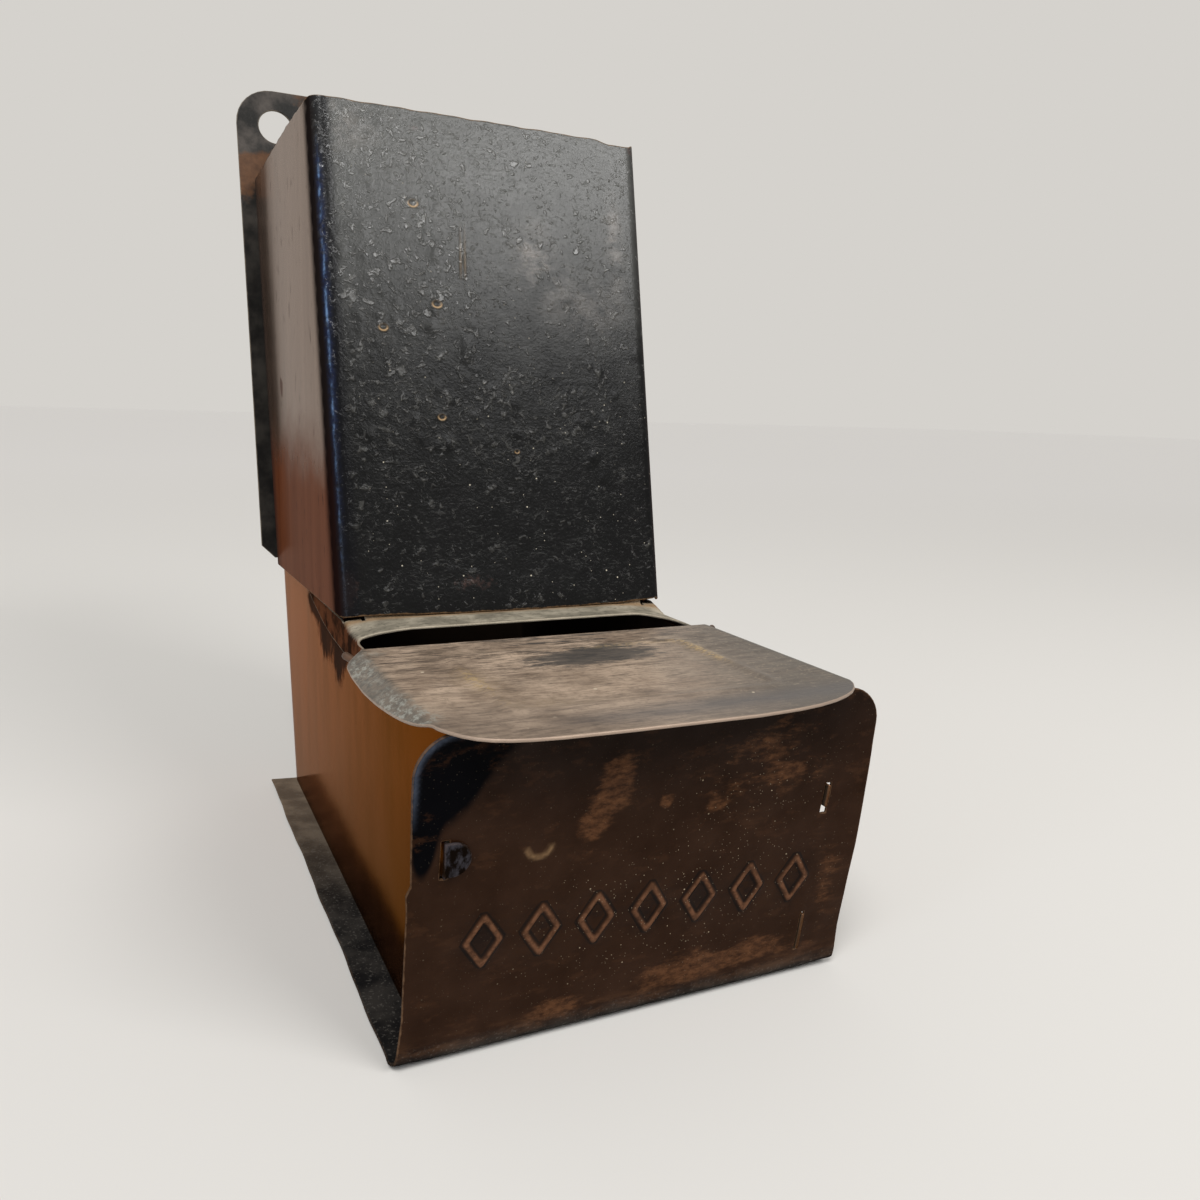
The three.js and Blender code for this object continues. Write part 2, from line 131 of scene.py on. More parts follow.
def pattern(outline, holes, grid, spacing=0.7):
    """A flat sheet as it is cut out: its points, its triangles, and a loop along each cut edge."""
    points, edges, loops, seen = [], [], [], 0
    for line, way in [(outline, 1), *((hole, -1) for hole in holes)]:
        line = closer(np.array(line), spacing)
        ahead = np.roll(line, -1, 0)
        if way * np.sum(line[:, 0] * ahead[:, 1] - line[:, 1] * ahead[:, 0]) < 0:
            line = line[::-1].copy()
            ahead = np.roll(line, -1, 0)
        ahead = ahead - line
        ahead /= np.linalg.norm(ahead, axis=1)[:, None]
        along = ahead + np.roll(ahead, 1, 0)
        along /= np.linalg.norm(along, axis=1)[:, None]
        inward = np.stack([-along[:, 1], along[:, 0]], 1)
        reach = np.clip(1 / np.sum(along * ahead, 1), 1, 2)
        inward *= reach[:, None]
        ring = np.arange(seen, seen + len(line))
        seen += len(line)
        points.append(line + inward * cut_round)
        edges += zip(ring.tolist(), np.roll(ring, -1).tolist())
        loops.append((ring, line, inward))
    lines = [line for _, line, _ in loops]
    support = np.concatenate([line + inward * 3 * cut_round for _, line, inward in loops])
    more = np.concatenate([np.c_[support, np.full(len(support), cut_round)], grid])
    away = np.full(len(more), 1e9)
    for x, y in np.concatenate(lines):
        away = np.minimum(away, np.hypot(more[:, 0] - x, more[:, 1] - y))
    more = more[inside(more, lines) & (away > np.maximum(0.75 * more[:, 2], 2.4 * cut_round))]
    flat = np.concatenate([*points, more[:, :2]])
    made = delaunay_2d_cdt([Vector(p) for p in flat.tolist()], edges, [], 1, 1e-7)
    source = [found[0] for found in made[3]]
    triangles = np.array([[source[i] for i in face] for face in made[2]])
    corner = flat[triangles]
    sense = np.cross(corner[:, 1] - corner[:, 0], corner[:, 2] - corner[:, 0])
    triangles[sense < 0] = triangles[sense < 0][:, ::-1]
    kept = inside(corner.mean(1), [flat[ring] for ring, _, _ in loops])
    return flat, triangles[kept & (np.abs(sense) > 1e-9)], loops


def bent(shape, flat, height):
    """Points of the bent sheet at a height above its outside."""
    step = 0.01
    u, v = flat.T
    across = shape(u + step, v) - shape(u - step, v)
    up = shape(u, v + step) - shape(u, v - step)
    normal = np.cross(across, up)
    normal /= np.linalg.norm(normal, axis=1)[:, None]
    return shape(u, v) + normal * np.reshape(height, (-1, 1))


def sheet(name, cut, shape, through=0.0, skin=0.0, marks=None):
    """The closed mesh of a sheet cut to a pattern and bent to shape.

    Relief through the sheet shows on both sides, and skin only on the outside. Marks are numbers
    stored at the points for the material, which also gets outside, and edge: 1 at a cut edge.
    """
    flat, triangles, loops = cut
    through = np.broadcast_to(through, len(flat))
    skin = np.broadcast_to(skin, len(flat))
    count = len(flat)
    points = [bent(shape, flat, through + skin), bent(shape, flat, through - thick)]
    faces = triangles.tolist() + (triangles[:, ::-1] + count).tolist()
    away = np.full(count, 1e9)
    for x, y in np.concatenate([line for _, line, _ in loops]):
        away = np.minimum(away, np.hypot(flat[:, 0] - x, flat[:, 1] - y))
    edge = limited(1 - (away - cut_round) / 4)
    values = {"edge": edge, "outside": np.ones(count), **(marks or {})}
    stored = {key: [value, 0 * value if key == "outside" else value] for key, value in values.items()}
    seen = 2 * count
    for ring, line, inward in loops:
        rings = [ring]
        for share, depth in [(0.3, 0.14), (0, 0.5), (0.3, 0.86)]:
            rim = line + inward * cut_round * share
            points.append(bent(shape, rim, through[ring] - depth * thick))
            rings.append(np.arange(seen, seen + len(ring)))
            seen += len(ring)
            for key, value in values.items():
                stored[key].append(value[ring] if key != "edge" else np.ones(len(ring)))
        rings.append(ring + count)
        for upper, lower in zip(rings, rings[1:]):
            quads = [upper, lower, np.roll(lower, -1), np.roll(upper, -1)]
            faces += np.stack(quads, 1).tolist()
    marks = {key: np.concatenate(value) for key, value in stored.items()}
    return solid(name, np.concatenate(points), faces, marks)


def shown(name, data):
    """An object at the origin with the given mesh, light or camera."""
    made = bpy.data.objects.new(name, data)
    bpy.context.scene.collection.objects.link(made)
    return made


def solid(name, points, faces, marks):
    """A smooth mesh at the origin, given in millimetres."""
    mesh = bpy.data.meshes.new(name)
    mesh.from_pydata((points * 0.001).tolist(), [], faces)
    mesh.polygons.foreach_set("use_smooth", np.ones(len(mesh.polygons), bool))
    for key, value in marks.items():
        stored = mesh.attributes.new(key, "FLOAT", "POINT")
        stored.data.foreach_set("value", np.asarray(value, np.float32))
    return shown(name, mesh)


def limited(value):
    """The value kept between 0 and 1."""
    return np.clip(value, 0, 1)


def ridge(distance, width):
    """1 at no distance, falling softly to 0 over about twice the width."""
    return np.exp(-((distance / width) ** 2))


def blobs(x, y, spots):
    """The sum of soft spots (x, y, half width, half height, strength) at each point."""
    total = np.zeros(len(x))
    for sx, sy, half_width, half_height, strength in spots:
        total += strength * np.exp(-(((x - sx) / half_width) ** 2) - ((y - sy) / half_height) ** 2)
    return total


def paint_colour(red, green, blue_reflection):
    """A colour of the shader from its 0 to 255 screen values."""
    parts = [part / 255 for part in (red, green, blue_reflection)]
    return [p / 12.92 if p <= 0.04045 else ((p + 0.055) / 1.055) ** 2.4 for p in parts] + [1]


def add_node(tree, kind, inputs, **settings):
    """A node with its settings and its inputs, which are values, sockets or tones."""
    made = tree.nodes.new(kind)
    for key, value in settings.items():
        setattr(made, key, value)
    for key, value in inputs.items():
        value = getattr(value, "socket", value)
        if isinstance(value, bpy.types.NodeSocket):
            tree.links.new(value, made.inputs[key])
        else:
            made.inputs[key].default_value = value
    return made


def tone(tree, kind, inputs, output=0, **settings):
    return Tone(tree, add_node(tree, kind, inputs, **settings).outputs[output])


class Tone:
    """A number or a colour that varies over a piece, as a socket of its material's nodes."""

    def __init__(self, tree, socket):
        self.tree = tree
        self.socket = socket

    def sum(self, other, kind="ADD", swapped=False):
        sides = {0: other, 1: self} if swapped else {0: self, 1: other}
        return tone(self.tree, "ShaderNodeMath", sides, operation=kind)

    def __add__(self, other):
        return self.sum(other)

    def __mul__(self, other):
        return self.sum(other, "MULTIPLY")

    def __rsub__(self, other):
        return self.sum(other, "SUBTRACT", True)

    def most(self, other):
        return self.sum(other, "MAXIMUM")

    def step(self, low, high):
        """0 below low, 1 above high and smooth between; the other way round if low is above high."""
        inputs = {"Value": self, "From Min": low, "From Max": high}
        return tone(self.tree, "ShaderNodeMapRange", inputs, interpolation_type="SMOOTHSTEP")

    def between(self, a, b):
        """The number a where this is 0 and b where it is 1."""
        return tone(self.tree, "ShaderNodeMix", {0: self, 2: a, 3: b}, data_type="FLOAT")

    def mix(self, a, b):
        """The colour a where this is 0 and b where it is 1; either may be screen values."""
        a, b = (paint_colour(*side) if isinstance(side, tuple) else side for side in (a, b))
        return tone(self.tree, "ShaderNodeMix", {0: self, 6: a, 7: b}, 2, data_type="RGBA")


def layered(colour, layers):
    """A colour with others laid over it in turn, each by its share."""
    for share, top in layers:
        colour = share.mix(colour, top)
    return colour


class Paint:
    """One material, built by calls that give its tones."""

    def __init__(self, name):
        self.material = bpy.data.materials.new(name)
        self.material.use_nodes = True
        self.tree = self.material.node_tree
        self.tree.nodes.clear()
        self.place = tone(self.tree, "ShaderNodeTexCoord", {}, "Object")
        split = add_node(self.tree, "ShaderNodeSeparateXYZ", {0: self.place}).outputs
        self.x, self.y, self.z = (Tone(self.tree, part) for part in split)

    def mark(self, name):
        return tone(self.tree, "ShaderNodeAttribute", {}, "Fac", attribute_name=name)

    def at(self, stretch, seed):
        """The place, stretched and slid away, for a pattern of its own."""
        slide = (seed * 0.37, seed * 0.23, seed * 0.71)
        return tone(self.tree, "ShaderNodeMapping", {0: self.place, 1: slide, 3: stretch})

    def noise(self, size, detail, rough, stretch=(1, 1, 1), seed=0, swirl=0.0):
        """Cloudy noise from 0 to 1, with features of about the size in millimetres."""
        inputs = {"Vector": self.at(stretch, seed), "Scale": 1000 / size, "Distortion": swirl}
        return tone(self.tree, "ShaderNodeTexNoise", {**inputs, "Detail": detail, "Roughness": rough})

    def specks(self, size, radius, share, seed):
        """Scattered round specks: of the points one size apart, that share have one."""
        inputs = {"Vector": self.at((1, 1, 1), seed), "Scale": 1000 / size}
        cells = add_node(self.tree, "ShaderNodeTexVoronoi", inputs).outputs
        own = tone(self.tree, "ShaderNodeSeparateXYZ", {0: cells["Color"]})
        distance = Tone(self.tree, cells["Distance"])
        return distance.step(radius, radius * 0.6) * own.step(1 - share, 1 - share + 0.02)

    def finish(self, colour, rough, bumps, **more):
        """Principled shading; bumps are (height, millimetres)."""
        names = {
            "metal": "Metallic",
            "tint": "Specular Tint",
            "gloss": "Specular IOR Level",
            "coat": "Coat Weight",
            "coat_rough": "Coat Roughness",
        }
        inputs = {
            "Base Color": colour,
            "Roughness": rough,
            **{names[key]: value for key, value in more.items()},
        }
        for height, depth in bumps:
            bump = {"Height": height, "Distance": depth * 0.001}
            if "Normal" in inputs:
                bump["Normal"] = inputs["Normal"]
            inputs["Normal"] = tone(self.tree, "ShaderNodeBump", bump)
        if "coat" in more:
            inputs["Coat Normal"] = inputs["Normal"]
        shader = tone(self.tree, "ShaderNodeBsdfPrincipled", inputs)
        add_node(self.tree, "ShaderNodeOutputMaterial", {0: shader})
        return self.material


def place(made, material, body, node):
    """Gives a piece its material, the body it moves with and the solid that it stands for."""
    made.data.materials.append(material)
    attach(made, body)
    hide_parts(node)


back_slope = math.tan(math.radians(12.4))
plate_half = 37.6
plate_low = 56.6
plate_high = 177.2
plate_front = 63.234  # of its front face, at the floor
plate_chamfer = 3.2
hole_inset = 9.4
hole_radius = 4.25


def plate_shape(x, z):
    warp = 0.25 * np.sin(z / 23) * limited((np.abs(x) - 30) / 8)
    return np.stack([x, plate_front + warp + back_slope * z, z], -1)


plate_outline = rounded([
    (-plate_half + plate_chamfer, plate_low), (plate_half - plate_chamfer, plate_low),
    (plate_half, plate_low + plate_chamfer), (plate_half, plate_high, hole_inset),
    (-plate_half, plate_high, hole_inset), (-plate_half, plate_low + plate_chamfer),
])
plate_holes = [
    circle(side * (plate_half - hole_inset) + 0.4, plate_high - hole_inset, hole_radius) for side in (-1, 1)
]
plate_cut = pattern(plate_outline, plate_holes, hexes(-plate_half, plate_low, plate_half, plate_high, 2))
plate_x, plate_z = plate_cut[0].T
plate_marks = {
    "rust": blobs(plate_x, plate_z, [
        (-20, 176, 5, 2, 0.7), (-31, 158, 7, 3.5, 0.95), (-36, 152, 3, 6, 0.8), (-22, 165, 4, 8, 0.6),
        (20, 172, 7, 4, 0.7), (36, 110, 3, 12, 0.6),
    ])
}
back_plate = sheet("back_plate_sheet", plate_cut, plate_shape, marks=plate_marks)

paint = Paint("plate_japan")
patina = paint.noise(9, 6, 0.62, seed=1)
ragged = paint.noise(2.6, 5, 0.65, seed=2)
rusted = (paint.mark("rust") + ragged * 0.7).step(0.72, 1.05)
dull = patina.step(0.35, 0.65).mix((20, 19, 18), (48, 45, 41))
greyed = patina.step(0.35, 0.65).mix((32, 31, 29), (80, 74, 69))
dull = paint.z.step(0.13, 0.16).mix(dull, greyed)
worn = (paint.mark("edge") + ragged * 0.1).step(1.02, 1.06)
rust_colour = ragged.mix((50, 34, 26), (118, 84, 60))
plate_colour = (rusted * 0.85).mix(dull, rust_colour)
plate_colour = (worn * 0.7).mix(plate_colour, (120, 108, 92))
plate_rough = rusted.between(patina.between(0.3, 0.5), 0.75)
plate_finish = paint.finish(plate_colour, plate_rough, [(patina, 0.15), (ragged, 0.06)], gloss=0.12)
place(back_plate, plate_finish, "holder", "back_plate")


# Hopper
# One sheet folded round the front and both sides, with its rear edges turned in and soldered to the plate.
# Its front is thickly japanned and blistered, and its sides are smooth and glossy.


class Section:
    """A sheet seen on edge: straight runs joined by round bends, walked by length."""

    def __init__(self, *corners):
        """Corners are (x, y) or (x, y, radius)."""
        corners = [(*corner[:2], corner[2] if len(corner) > 2 else 0) for corner in corners]
        self.bends = []
        runs = []
        x, y = corners[0][:2]
        length = 0.0
        for i in range(1, len(corners)):
            cx, cy, radius = corners[i]
            heading = math.atan2(cy - corners[i - 1][1], cx - corners[i - 1][0])
            trim, turn = 0.0, 0.0
            if radius:
                nx, ny = corners[i + 1][:2]
                turn = math.atan2(ny - cy, nx - cx) - heading
                turn = (turn + math.pi) % (2 * math.pi) - math.pi
                trim = radius * math.tan(abs(turn) / 2)
            run = math.hypot(cx - x, cy - y) - trim
            runs.append((length, x, y, heading, 0.0))
            length += run
            x += run * math.cos(heading)
            y += run * math.sin(heading)
            if radius:
                curve = math.copysign(1 / radius, turn)
                runs.append((length, x, y, heading, curve))
                self.bends.append((length, length + radius * abs(turn)))
                length += radius * abs(turn)
                x = cx + trim * math.cos(heading + turn)
                y = cy + trim * math.sin(heading + turn)
        self.length = length
        self.runs = np.array(runs).T

    def at(self, length):
        starts, x, y, heading, curve = self.runs
        i = np.clip(np.searchsorted(starts, length, side="right") - 1, 0, len(starts) - 1)
        step = length - starts[i]
        half = curve[i] * step / 2
        chord = step * np.sinc(half / math.pi)
        return x[i] + chord * np.cos(heading[i] + half), y[i] + chord * np.sin(heading[i] + half)


hopper_half = 34
hopper_top = 153.2
hopper_foot = 57
side_foot = hopper_foot - 2  # of its sides, at the rear
hopper_front = -20.765  # of its front face, at the floor
hopper_back = 62.934
hopper_bend = 2.6
seat_bend = 0.8
flange_width = 5
flange_low = 63.8

plan = Section(
    (-hopper_half + flange_width, hopper_back),
    (-hopper_half, hopper_back, seat_bend),
    (-hopper_half, hopper_front, hopper_bend),
    (hopper_half, hopper_front, hopper_bend),
    (hopper_half, hopper_back, seat_bend),
    (hopper_half - flange_width, hopper_back),
)
(seat_near, seat), (left_in, left_out), (right_in, right_out), (seat_far, seat_end) = plan.bends
hopper_middle = plan.length / 2


def hopper_shape(s, z):
    x, y = plan.at(s)
    across = (s - hopper_middle) / hopper_half
    up = (z - hopper_foot) / (hopper_top - hopper_foot)
    front = limited(1 - across**2)
    side = np.clip(np.abs(s - hopper_middle) - hopper_half, 0, 80) / 80
    bulge = np.sin(math.pi * limited(side)) * np.sin(math.pi * limited(up))
    swell = 0.3 * np.sin(math.pi * limited(up)) + 0.5 * ridge(up, 0.08)
    y = y + back_slope * z - swell * front
    flare = (0.3 + 0.7 * up) * limited(x / hopper_half)
    return np.stack([x * (1 + 0.006 * bulge) + flare, y, z + 0 * s], -1)


def hopper_rim(s):
    """Height of the hopper's snipped top edge above its level, along the sheet."""
    x = s - hopper_middle
    known = [-120, -90, -60, -34, -10, 20, 25, 27.4, 32.3, 34, 60, 90]
    rise = [0.0, 0.6, 1.0, 0.5, 0.4, 0.2, 0.1, -0.5, -0.4, 0.1, 0.2, 0.0]
    return np.interp(x, known, rise) + 0.06 * np.sin(x / 1.7) + 0.05 * np.sin(x / 0.9 + 1)


hopper_corners = np.array([
    (0, flange_low), (seat, flange_low), (seat, side_foot), (left_in, hopper_foot),
    (right_out, hopper_foot), (seat_far, side_foot), (seat_far, flange_low),
    (plan.length, flange_low), (plan.length, hopper_top), (0, hopper_top),
])
hopper_outline = closer(hopper_corners, 0.7)
on_top = hopper_outline[:, 1] > hopper_top - 0.01
hopper_outline[on_top, 1] += hopper_rim(hopper_outline[on_top, 0])
on_foot = (hopper_outline[:, 1] < hopper_foot + 0.01) & (np.abs(hopper_outline[:, 0] - hopper_middle) < 33)
foot_x = hopper_outline[on_foot, 0] - hopper_middle
hopper_outline[on_foot, 1] += np.interp(
    foot_x, [-33, -27, -11, 6, 24, 33], [0.1, 0.3, -0.15, -0.2, -0.05, 0.5]
)
hopper_outline[on_foot, 1] += 0.05 * np.sin(foot_x / 1.3)
above_top = hopper_top + 2  # past the snipped edge
hopper_grid = np.concatenate([
    hexes(seat_near - 0.2, flange_low, seat + 0.4, above_top, 0.42),
    hexes(seat + 0.9, side_foot, left_in - 0.8, above_top, 2.2),
    hexes(left_in - 0.4, hopper_foot, left_out + 0.3, above_top, 0.28),
    hexes(left_out + 0.7, hopper_foot, right_out + 0.6, above_top, 0.62),
    hexes(right_out + 1, side_foot, seat_far - 0.9, above_top, 2.2),
    hexes(seat_far - 0.4, flange_low, seat_end + 0.2, above_top, 0.42),
])
craters = [
    (-15.4, 135.4, 1.0), (-11.8, 116.3, 1.0), (-22.7, 111.2, 0.9), (-12.2, 94.5, 0.8), (3.0, 88.0, 0.5),
]
fine_spots = [(x, z, 2 * size, 2 * size) for x, z, size in craters] + [(-6, 127.5, 1.4, 7)]
for x, z, half_width, half_height in fine_spots:
    x = x + hopper_middle
    near = (np.abs(hopper_grid[:, 0] - x) < half_width) & (np.abs(hopper_grid[:, 1] - z) < half_height)
    closely = hexes(x - half_width, z - half_height, x + half_width, z + half_height, 0.17)
    hopper_grid = np.concatenate([hopper_grid[~near], closely])
hopper_cut = pattern(hopper_outline, [], hopper_grid)
hopper_s, hopper_z = hopper_cut[0].T
hopper_x = hopper_s - hopper_middle

rng = np.random.default_rng(12)
crowds = [
    (-24, 118, 9, 34, 1.0), (-13, 122, 9, 12, 0.8), (-8, 100, 14, 12, 0.8), (4, 92, 12, 9, 0.8),
    (-18, 146, 14, 6, 0.7), (16, 96, 10, 8, 0.4), (24, 112, 6, 30, 0.3), (8, 128, 12, 12, 0.2),
]
blister_count = 900
blister_x = rng.uniform(-33, 33, blister_count)
blister_z = rng.uniform(58, 152, blister_count)
wanted = rng.uniform(0, 1, blister_count) < 0.6 * blobs(blister_x, blister_z, crowds) + 0.04
blister_size = 0.42 + 0.6 * rng.uniform(0, 1, blister_count) ** 3
blister_lift = blister_size * rng.uniform(0.07, 0.2, blister_count)
blisters = np.stack([blister_x, blister_z, blister_size, blister_size * 1.15, blister_lift], 1)[wanted]
hopper_skin = blobs(hopper_x, hopper_z, blisters)
# Painted highlight: the lower lips of the craters, and a line down the drip, are painted light as if lit
# from above.
crater_glints = np.zeros(len(hopper_x))
for cx, cz, size in craters:
    ring = np.hypot(hopper_x - cx, 1.3 * (hopper_z - cz)) / size
    lower_half = np.clip(0.5 - 0.9 * (hopper_z - cz) / size, 0.1, 1)
    hopper_skin += 0.1 * ridge(ring - 1, 0.25) - 0.12 * ridge(ring, 0.75)
    crater_glints += ridge(ring - 0.9, 0.2) * lower_half
drip = np.abs(np.abs(hopper_x + 5.8 - 0.05 * (hopper_z - 128)) - 0.45) / 0.22
drip_reach = limited((hopper_z - 121) / 3) * limited((133 - hopper_z) / 8)
hopper_skin += 0.1 * np.exp(-(drip**2)) * drip_reach
on_front = limited((34.5 - np.abs(hopper_x)) / 1.5)
hopper_marks = {
    "front": on_front,
    "crowd": np.clip(blobs(hopper_x, hopper_z, crowds), 0, 1.2),
    # painted shade down the left front bend and along the right one
    "bend": limited((hopper_s - left_in + 6.5) / 4) * limited((left_out + 1.6 - hopper_s) / 1.2)
    + 0.85 * np.exp(-(((hopper_x - 34.2) / 1.9) ** 4)),
    # painted reflection of a cool light down the middle of the left front bend, with a pale core (gleam)
    "blue_reflection": ridge(hopper_s - (left_in + left_out) / 2 - 0.3, 0.75),
    "gleam": ridge(hopper_s - (left_in + left_out) / 2 - 0.2, 0.22),
    # painted reflection of the dark back plate along the rear of each side
    "rear": ridge(hopper_s - seat, 5) + ridge(seat_far - hopper_s, 5),
    "rim": limited(0.9 * crater_glints) + 0.17 * np.exp(-(drip**2)) * drip_reach,
    "rust": blobs(hopper_x, hopper_z, [
        (-33, 62, 3, 5, 0.9), (-8, 62.5, 8, 2.5, 0.6), (-26, 66, 5, 5, 0.35), (33, 152, 2, 3, 0.7),
        (-14, 150, 5, 1.5, 0.5),
    ]),
    "pale": blobs(hopper_x, hopper_z, [
        (9, 128, 3, 5, 1.3), (12, 124, 4, 4, 0.8), (-28, 149, 6, 4, 0.9), (27.5, 132, 1.8, 8, 1.1),
        (20, 118, 8, 5, 0.4),
    ]),
    "stain": blobs(-hopper_s + seat, hopper_z, [(-26, 100, 2.2, 3, 1.0)]),
}
hopper = sheet("hopper_sheet", hopper_cut, hopper_shape, skin=hopper_skin * on_front, marks=hopper_marks)

paint = Paint("hopper_japan")
front = paint.mark("front")
outside = paint.mark("outside")
cloud = paint.noise(14, 5, 0.6, seed=3)
grain = paint.noise(0.9, 4, 0.6, seed=4)
peel = paint.noise(0.55, 2, 0.5, seed=5)
scuff = paint.noise(4.5, 6, 0.68, stretch=(0.8, 1, 1), seed=10)
crowd = (paint.mark("crowd") + cloud * 0.8).step(0.3, 1.1)
gathered = paint.noise(5, 3, 0.6, seed=63)
leaning = crowd * 0.06 + gathered * 0.25
big = paint.noise(1.5, 2, 0.5, seed=61, swirl=0.5) + leaning
small = paint.noise(0.75, 2, 0.5, seed=62, swirl=0.4) + leaning
bumps = big.step(0.74, 0.88) + small.step(0.76, 0.9) * 0.45
combed = paint.noise(0.5, 4, 0.65, stretch=(0.35, 1, 1), seed=64)
combed = combed.step(0.52, 0.68) * scuff.step(0.4, 0.6)
# Painted sheen: the front's colour runs from near black at the foot to grey at the top, standing for lamps
# mirrored in its satin japan; scuffs break it up.
high = paint.z.step(0.1, 0.158)
top_sheen = high * scuff.between(0.55, 1.25)
front_colour = top_sheen.mix((15, 15, 15), (87, 87, 84))
middle = paint.z.step(0.085, 0.125) * scuff.step(0.3, 0.7)
pale = paint.mark("pale") * scuff.step(0.38, 0.66)
# Painted highlight: the blisters and combed lines are painted a little lighter.
painted_glints = (bumps * 1.6 + combed) * 0.07
darker = grain.step(0.5, 0.34)
rusting = (paint.mark("rust") + grain * 0.8).step(0.85, 1.2)
# Painted reflection: a navy line with a pale core down the left front bend stands for a cool light mirrored
# in it.
blue_reflection = paint.mark("blue_reflection") * grain.step(0.38, 0.6).between(0.35, 1.0)
blue_reflection = blue_reflection * (paint.z + cloud * 0.03).step(0.07, 0.135)
blue_reflection = blue_reflection * (paint.z + cloud * 0.01).step(0.153, 0.144)
dust = paint.specks(2.4, 0.08, 0.3, seed=6)
dust_fine = paint.specks(1.0, 0.11, 0.16, seed=7)
dust_low = paint.z.step(0.115, 0.08)
dust = (dust + dust_fine) * dust_low.between(0.25, 1.0)
front_colour = layered(front_colour, [
    # painted sheen, a fainter grey over the middle of the front
    (middle * 0.35, (70, 70, 68)),
    (pale * 0.36, (156, 148, 141)),
    (painted_glints, (136, 134, 128)),
    (darker * 0.15, (8, 8, 8)),
    (rusting * 0.6, (88, 66, 60)),
    # painted highlight on the craters' lower lips and the drip
    (paint.mark("rim"), (176, 146, 108)),
    (dust, (180, 172, 154)),
])

streaks = paint.noise(5, 3, 0.5, stretch=(1, 1, 0.1), seed=8)
dashes = paint.noise(1.6, 3, 0.55, stretch=(1, 1, 0.3), seed=9)
# Painted reflection, on the japan's own brown: the sides are grey-pink above and red-brown below, standing
# for the surroundings mirrored in their gloss.
side_high = (paint.z + cloud * 0.016).step(0.086, 0.105)
side_low_colour = streaks.mix((80, 42, 25), (108, 62, 39))
side_high_colour = streaks.mix((76, 58, 48), (110, 90, 77))
side_colour = side_high.mix(side_low_colour, side_high_colour)
fleck = dashes.step(0.62, 0.72)
stain = (paint.mark("stain") + dashes * 0.6).step(0.75, 0.85)
side_colour = layered(side_colour, [
    (fleck * 0.7, (46, 34, 30)),
    (stain * 0.75, (66, 30, 22)),
    # painted reflection of the dark back plate, darkening the rear of each side
    (paint.mark("rear") * 0.7, (34, 30, 31)),
])
inner_colour = cloud.mix((34, 28, 24), (86, 70, 56))
colour = front.mix(side_colour, front_colour)
# Painted shade: both front bends are painted nearly black, as they mirror little light.
bend_shade = paint.mark("bend")
gleam = paint.mark("gleam") * paint.noise(1.2, 4, 0.6, stretch=(1, 1, 0.3), seed=65).step(0.4, 0.64)
colour = layered(colour, [
    (bend_shade * 0.92, (9, 9, 12)),
    (blue_reflection, (26, 34, 60)),
    (gleam * blue_reflection, (104, 132, 168)),
])
edge_worn = (paint.mark("edge") + grain * 0.14).step(1.02, 1.08)
colour = outside.mix(inner_colour, colour)
colour = (edge_worn * 0.7).mix(colour, (118, 92, 66))
front_rough = grain.between(0.34, 0.5)
side_rough = streaks.between(0.12, 0.22)
rough = front.between(side_rough, front_rough)
rough = outside.between(0.6, rough)
waves = paint.noise(22, 1, 0.4, seed=9)
front_gloss = scuff.between(0.35, 0.8) * high.between(0.35, 0.85)
upper = paint.z.step(0.086, 0.132).between(0.12, 0.9)
front_gloss = (bumps.step(0.02, 0.3) * upper).between(front_gloss, 1.0)
mirror = outside * (1.0 - front) * side_high.between(0.14, 0.85)
mirror = mirror * (1.0 - fleck.most(stain) * 0.6)
mirror = mirror * streaks.between(0.78, 1.15)
mirror = mirror * paint.mark("rear").between(1.0, 0.4)
mirror = mirror * (1.0 - bend_shade)
gloss = outside * front * front_gloss
hopper_finish = paint.finish(
    colour,
    rough,
    [(bumps * front, 0.12), ((grain + peel + combed * 0.4) * front, 0.04), (waves, 0.05)],
    metal=mirror,
    tint=(0.88, 0.79, 0.73, 1),
    gloss=0.0,
    coat=gloss,
    coat_rough=0.25,
)
place(hopper, hopper_finish, "holder", "hopper_shell")


# Tray
# One iron sheet folded round both sides and the back, from the base up into the hopper's foot.
# Its walls are glossy brown japan; tabs at their front edges pass through slits in the front plate.

tray_half = 32.65
tray_rear = 62.934
front_slope = math.tan(math.radians(10))
front_face = -63.234  # of the front plate's outside, at the floor
tray_start = -80.0
tray_bend = 2
tray_reach = 66  # above its highest edge
wire_y = -29.234
wire_z = 52.8
wire_radius = 0.7
wall_top = 54.5
wall_gap = 0.81  # from the front plate's outside to a wall's edge
notch_low = 48.6
notch_run = 4.2

tray_plan = Section(
    (tray_half, tray_start),
    (tray_half, tray_rear, tray_bend),
    (-tray_half, tray_rear, tray_bend),
    (-tray_half, tray_start),
)


def tray_shape(s, z):
    x, y = tray_plan.at(s)
    return np.stack([x, y + back_slope * z, z + 0 * s], -1)


def wall_edge(lugs):
    """The front edge, top and notch of a side wall, as (y, z) from the foot to the hopper's lap."""
    inner = front_face + wall_gap
    line = [(inner + 2.6, 0.5), (inner + 0.1, 2.7)]
    for low, high, out in lugs:
        stem = front_face - out
        line += [(inner - low * front_slope, low), (stem - low * front_slope, low)]
        line += [(stem - high * front_slope, high), (inner - high * front_slope, high)]
    line += [(inner - wall_top * front_slope, wall_top), (wire_y, wall_top)]
    knuckle = np.radians(np.linspace(80, -40, 9))
    reach = wall_top - wire_z
    line += [(wire_y + reach * math.cos(a), wire_z + reach * math.sin(a)) for a in knuckle]
    notch = wire_y + notch_run
    line += [(wire_y + 1.4, notch_low), (notch, notch_low), (notch, 53.0), (notch + 1, 53.3)]
    return line + [(-6.5, 53.8), (-3.5, 55.6), (-0.8, 63.5)]


def on_wall(line, side):
    """Pattern points of a wall's (y, z) line; side is 1 on the right and -1 on the left."""
    y, z = np.array(line).T
    s = y - back_slope * z - tray_start
    return np.stack([s if side > 0 else tray_plan.length - s, z], 1)


